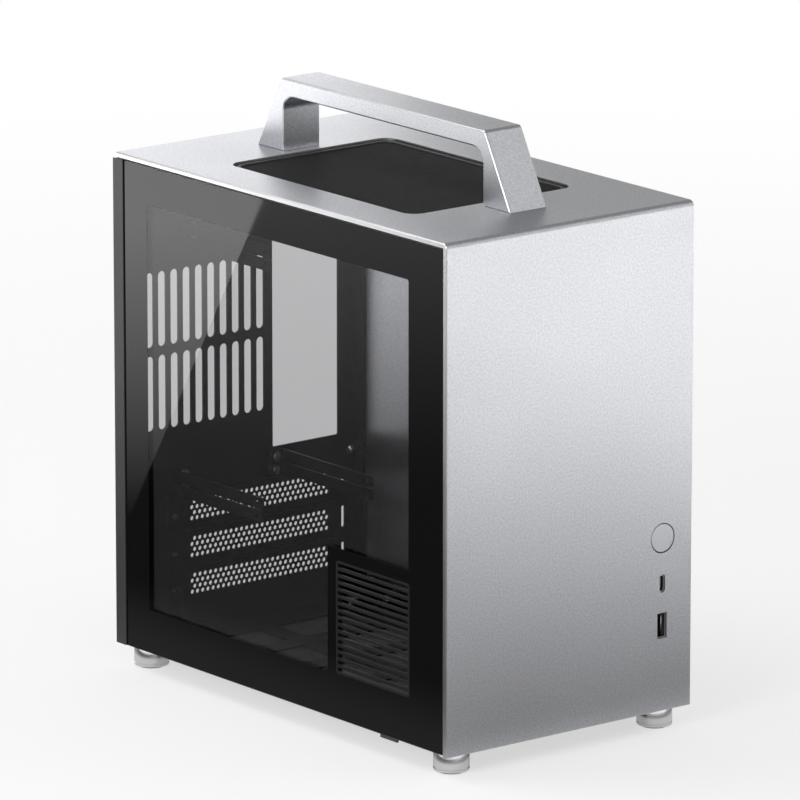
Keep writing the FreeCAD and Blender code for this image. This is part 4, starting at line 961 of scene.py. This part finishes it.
class CASE_OT_screws(CasePiece, bpy.types.Operator):
    """Set detailed screws in the rails, slots, feet and handle"""

    bl_idname = "case.screws"
    bl_label = "Screws"

    def build(self, colours, details):
        tree, zinc = fastener_tree(), finish("zinc_plate", colours)
        for node, (axis, way, turn, shank, head, head_height) in SCREWS.items():
            boxes = solids_of(node)
            reach = boxes[0][1][axis] - boxes[0][0][axis]
            points = []
            for low, high in boxes:
                spot = (low + high) / 2
                spot[axis] = low[axis] if way > 0 else high[axis]
                points.append(spot)
            shape = self.screw(shank, head, head_height, reach)
            piece = grown(f"{node}_set", tree, points, Fastener=shape, Turn=turn, Material=zinc)
            bpy.data.objects.remove(shape)
            place(piece, "case", "zinc_steel", node)

    def screw(self, shank, head, head_height, reach):
        """A socket-head screw along +Z, its head's face at the origin."""
        segments, socket, socket_depth = 24, 0.52 * head, 0.6 * head_height
        chamfer, chamfer_depth = 0.5 * MM, 0.45 * MM
        point, point_depth = 0.7 * shank, 0.4 * MM
        profile = ((socket, socket_depth), (socket, 0.0), (head - chamfer, 0.0), (head, chamfer_depth),
                   (head, head_height), (shank, head_height), (shank, reach - point_depth), (point, reach))
        made = bmesh.new()
        lathe(made, profile, segments, hexagon_rings=(0, 1))
        return from_bmesh("screw", made, ())


class CASE_OT_sockets(CasePiece, bpy.types.Operator):
    """Finish the front sockets, their board and the power button"""

    bl_idname = "case.sockets"
    bl_label = "Front sockets and button"

    def build(self, colours, details):
        wall, lip, back = 0.39 * MM, 0.7 * MM, 1.9 * MM
        end_on = 0.5  # of a face's normal along the socket, above which the face closes it
        shell, black = finish("socket_shell", colours), finish("moulded_black", colours)
        gold = finish("gold_contact", colours)
        for node, count in (("usb_a_socket", 4), ("usb_c_socket", 6)):
            low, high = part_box(node)
            mouth, inside = low + Vector((wall, lip, wall)), high - Vector((wall, back, wall))
            made = merged(node)
            for face in made.faces:
                spot = face.calc_center_median()
                within = all(mouth[axis] < spot[axis] < inside[axis] for axis in range(3))
                face.material_index = 1 if within and abs(face.normal.y) < end_on else 0
            socket = from_bmesh(f"{node}_body", made, (shell, black))
            place(socket, "case", "socket_steel", node)
            self.contacts(node, count, gold)
        paint(finish("socket_board", colours), "io_board")
        paint(black, "switch_housing")
        self.button(colours)

    def contacts(self, node, count, gold):
        """Gilt strips on a socket's tongue."""
        low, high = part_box(node)
        middle = (low + high) / 2
        tongue_face = middle.x + 0.4 * MM if node == "usb_a_socket" else low.x + 1.2 * MM
        tongue = 0.62 * (high.z - low.z)
        pitch = tongue / count
        half_strip, thickness, front_gap, rear_gap = 0.24 * pitch, 0.08 * MM, 1.2 * MM, 3.0 * MM
        made = bmesh.new()
        for index in range(count):
            z = middle.z - tongue / 2 + pitch * (index + 0.5)
            box(made, (tongue_face - thickness, low.y + front_gap, z - half_strip),
                (tongue_face, high.y - rear_gap, z + half_strip))
        place(from_bmesh(f"{node}_contacts", made, (gold,)), "case", "socket_steel")

    def button(self, colours):
        """The cap, with fine rings turned round its middle."""
        cap_edge = 0.25 * MM
        low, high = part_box("power_button")
        spun = finish("spun_silver", colours)
        tree = spun.node_tree
        centred = add(tree, "ShaderNodeMapping", {
            "Vector": object_spot(tree), "Location": tuple(-(low + high) / 2)}).outputs[0]
        rings = add(tree, "ShaderNodeTexWave", {"Vector": centred, "Scale": 700.0, "Distortion": 0.4},
                    wave_type="RINGS", rings_direction="Y").outputs[1]
        bump = add(tree, "ShaderNodeBump", {"Strength": 0.35, "Distance": 0.01 * MM, "Height": rings})
        tree.links.new(bump.outputs[0], tree.nodes["Principled BSDF"].inputs["Normal"])
        cap = eased(from_bmesh("button_cap", merged("power_button"), (spun,)), cap_edge)
        place(cap, "power_button", "silver_sheet", "power_button")


# Stage, in metres

FLOOR_RADIUS, FLOOR_SEGMENTS = 4.0, 96
FLOOR_FADE = (0.5, 1.6)  # from the origin, where the floor starts to fade and is gone
PAINTED_SHADE_REACH = (-0.1, -0.2)  # along X, where the painted shade on the floor beside the glass, seen only in reflections, starts and is full
NEAR_FLOOR, NEAR_LIFT = 45.0 * MM, 0.5  # painted light: reflections nearer than this see the floor glow with this part of the lift
GLASS_CARD = ((-0.12, 0.22), (0.28, 0.62), (-0.9, 1.9), (-1.3, 1.49))  # corners on the floor
GLASS_CARD_HEIGHT = 3.0 * MM
GLASS_CARD_GLOW = (0.45, 1.2)  # from the origin, where the card starts to glow and is brightest
TOP_CARD = rectangle(-0.9, 0.0, 0.25, 0.75)  # corners across the view and up
TOP_CARD_AWAY = 0.8
ROOM_HEIGHT, ROOM_TOP = 0.32, 0.3  # in reflections, the height above which the room has this brightness
SENSOR_WIDTH, FAR_CLIP = 36.0, 50.0
# Each lamp: its place, its aim where that isn't the middle of the case, its width and its spread in degrees
LAMPS = {
    "key": ((-0.9, 1.0, 2.0), None, 1.5, 180.0),
    "left": ((-1.8, -0.6, 0.9), None, 0.9, 180.0),
    "front": ((0.93, -1.27, 0.9), (0.83, -1.13, 0.0), 0.7, 70.0),
    "fill": ((1.15, -1.3, 1.2), None, 0.8, 180.0),
}


def bare_material(name):
    """A material with an empty tree."""
    made = bpy.data.materials.new(name)
    made.use_nodes = True
    made.node_tree.nodes.clear()
    return made


def distance_out(tree):
    """How far a point lies from the origin."""
    return add(tree, "ShaderNodeVectorMath", {0: object_spot(tree)}, operation="LENGTH").outputs["Value"]


def aimed(name, data, spot, way):
    """A lamp or camera that looks along a way."""
    made = bpy.data.objects.new(name, data)
    made.location = spot
    made.rotation_mode = "QUATERNION"
    made.rotation_quaternion = way.to_track_quat("-Z", "Y")
    bpy.context.scene.collection.objects.link(made)
    return made


class CASE_OT_stage(bpy.types.Operator):
    """Set up the pale floor, the soft studio light and the camera"""

    bl_idname = "case.stage"
    bl_label = "Stage"

    def execute(self, context):
        scene = context.scene
        scene.view_settings.view_transform = "Standard"
        stage = scene.case_stage
        middle = (cad_low + cad_high) / 2
        self.floor(stage)
        self.glass_card(stage.sheen)
        self.top_card(stage.azimuth, stage.top_glow)
        self.room(scene, stage.room)
        self.lamps(stage, middle)
        self.camera(scene, stage, middle)
        return {"FINISHED"}

    def floor(self, stage):
        """Pale to the eye and through the glass, greyer in reflections with painted shade beside the glass
        and painted light in near reflections, and fading into the room.
        """
        made = bmesh.new()
        bmesh.ops.create_circle(made, cap_ends=True, segments=FLOOR_SEGMENTS, radius=FLOOR_RADIUS)
        pale = bare_material("pale_floor")
        tree = pale.node_tree
        path = add(tree, "ShaderNodeLightPath").outputs
        sideways = add(tree, "ShaderNodeSeparateXYZ", {0: object_spot(tree)}).outputs["X"]
        # painted shade: the floor beside the glass turns darker for glossy rays only, so the glass mirrors a
        # dark floor there
        flag = ramp(tree, sideways, *PAINTED_SHADE_REACH, 0.0, stage.flag)
        shade = math_node(tree, "MULTIPLY", flag, path["Is Glossy Ray"])
        grey = colour_mix(tree, shade, stage.floor_grey, (0.0, 0.0, 0.0))
        matt = add(tree, "ShaderNodeBsdfDiffuse", {"Color": grey}).outputs[0]
        seen = math_node(tree, "MAXIMUM", path["Is Camera Ray"], path["Is Transmission Ray"])
        # painted light: the floor glows in near reflections, as in the feet, brighter than it is lit
        near = math_node(tree, "LESS_THAN", path["Ray Length"], NEAR_FLOOR)
        near = math_node(tree, "MULTIPLY", near, NEAR_LIFT)
        near = math_node(tree, "MULTIPLY", near, path["Is Glossy Ray"])
        strength = math_node(tree, "MULTIPLY", math_node(tree, "MAXIMUM", seen, near), stage.floor_lift)
        lift = add(tree, "ShaderNodeEmission", {"Strength": strength}).outputs[0]
        paler = add(tree, "ShaderNodeAddShader", {0: matt, 1: lift}).outputs[0]
        clear = add(tree, "ShaderNodeBsdfTransparent").outputs[0]
        fade = ramp(tree, distance_out(tree), *FLOOR_FADE)
        mixed = add(tree, "ShaderNodeMixShader", {0: fade, 1: paler, 2: clear}).outputs[0]
        add(tree, "ShaderNodeOutputMaterial", {"Surface": mixed})
        floor = from_bmesh("floor", made, (pale,))

    def glass_card(self, strength):
        """A card on the floor, brighter further off: a sheen with a slanting edge in the glass."""
        tree = self.card("glass_card", [(x, y, GLASS_CARD_HEIGHT) for x, y in GLASS_CARD], strength)
        glow = ramp(tree, distance_out(tree), *GLASS_CARD_GLOW, 0.0, strength, shape="LINEAR")
        tree.links.new(glow, tree.nodes["Emission"].inputs["Strength"])

    def top_card(self, azimuth, strength):
        """A card standing behind the left half of the case, whose edge fades over the cover's top."""
        away = Vector((-math.sin(azimuth), math.cos(azimuth), 0))
        across = Vector((math.cos(azimuth), math.sin(azimuth), 0))
        corners = [TOP_CARD_AWAY * away + u * across + Vector((0, 0, z)) for u, z in TOP_CARD]
        self.card("top_card", corners, strength)

    def card(self, name, corners, strength):
        """A bright card that shows only in reflections; gives its node tree."""
        made = bmesh.new()
        made.faces.new([made.verts.new(corner) for corner in corners])
        bright = bare_material(name)
        tree = bright.node_tree
        light = add(tree, "ShaderNodeEmission", {"Strength": strength})
        add(tree, "ShaderNodeOutputMaterial", {"Surface": light.outputs[0]})
        card = from_bmesh(name, made, (bright,))
        for ray in ("camera", "diffuse", "transmission", "volume_scatter", "shadow"):
            setattr(card, f"visible_{ray}", False)
        return tree

    def room(self, scene, strength):
        """White to the eye and through glass, darker upwards in reflections, and softer as a light."""
        world = bpy.data.worlds.new("studio")
        scene.world = world
        world.use_nodes = True
        tree = world.node_tree
        path = add(tree, "ShaderNodeLightPath").outputs
        seen = math_node(tree, "MAXIMUM", path["Is Camera Ray"], path["Is Transmission Ray"])
        upwards = add(tree, "ShaderNodeTexCoord").outputs["Generated"]
        height = add(tree, "ShaderNodeSeparateXYZ", {0: upwards}).outputs["Z"]
        falloff = ramp(tree, height, 0.0, ROOM_HEIGHT, 1.0, ROOM_TOP)
        gloss = math_node(tree, "MULTIPLY", falloff, path["Is Glossy Ray"])
        soft = math_node(tree, "MULTIPLY", strength, path["Is Diffuse Ray"])
        level = math_node(tree, "MAXIMUM", seen, math_node(tree, "MAXIMUM", gloss, soft))
        tree.links.new(level, tree.nodes["Background"].inputs["Strength"])
        tree.nodes["Background"].inputs["Color"].default_value = (1.0, 1.0, 1.0, 1.0)

    def lamps(self, stage, middle):
        """Round soft lamps, each with its own power."""
        for name, (spot, aim, width, spread) in LAMPS.items():
            light = bpy.data.lights.new(name, "AREA")
            light.shape = "DISK"
            light.size = width
            light.energy = getattr(stage, f"{name}_power")
            light.spread = math.radians(spread)
            target = Vector(aim) if aim else middle
            aimed(name, light, Vector(spot), target - Vector(spot))

    def camera(self, scene, stage, middle):
        """The photograph's camera, aimed at the middle of the case."""
        turn, rise = stage.azimuth, stage.elevation
        back = Vector((math.sin(turn) * math.cos(rise), -math.cos(turn) * math.cos(rise), math.sin(rise)))
        lens = bpy.data.cameras.new("camera")
        lens.lens = stage.lens
        lens.sensor_width = SENSOR_WIDTH
        lens.clip_end = FAR_CLIP
        scene.camera = aimed("camera", lens, middle + back * stage.distance, -back)


# Add-on

SETTINGS = {"case_finishes": CaseFinishes, "case_details": CaseDetails, "case_stage": CaseStage}
PIECES = (CASE_OT_folded_frame, CASE_OT_cover, CASE_OT_handle, CASE_OT_glass_side, CASE_OT_mesh_side,
          CASE_OT_slot_covers, CASE_OT_filters, CASE_OT_feet, CASE_OT_screws, CASE_OT_sockets, CASE_OT_stage)


class CASE_PT_looks(bpy.types.Panel):
    """Lists the pieces of the case and their settings"""

    bl_idname = "CASE_PT_looks"
    bl_label = "Computer case"
    bl_space_type = "VIEW_3D"
    bl_region_type = "UI"
    bl_category = "Case"

    def draw(self, context):
        for group in SETTINGS:
            settings = getattr(context.scene, group)
            column = self.layout.column()
            for name in settings.__annotations__:
                column.prop(settings, name)
        for operator in PIECES:
            self.layout.operator(operator.bl_idname)


def register():
    for group in (*SETTINGS.values(), *PIECES, CASE_PT_looks):
        bpy.utils.register_class(group)
    for name, group in SETTINGS.items():
        setattr(bpy.types.Scene, name, PointerProperty(type=group))


def unregister():
    for name in SETTINGS:
        delattr(bpy.types.Scene, name)
    for group in (CASE_PT_looks, *reversed(PIECES), *SETTINGS.values()):
        bpy.utils.unregister_class(group)


def main():
    register()
    for operator in PIECES:
        family, name = operator.bl_idname.split(".")
        getattr(getattr(bpy.ops, family), name)()


if __name__ == "__main__":
    main()
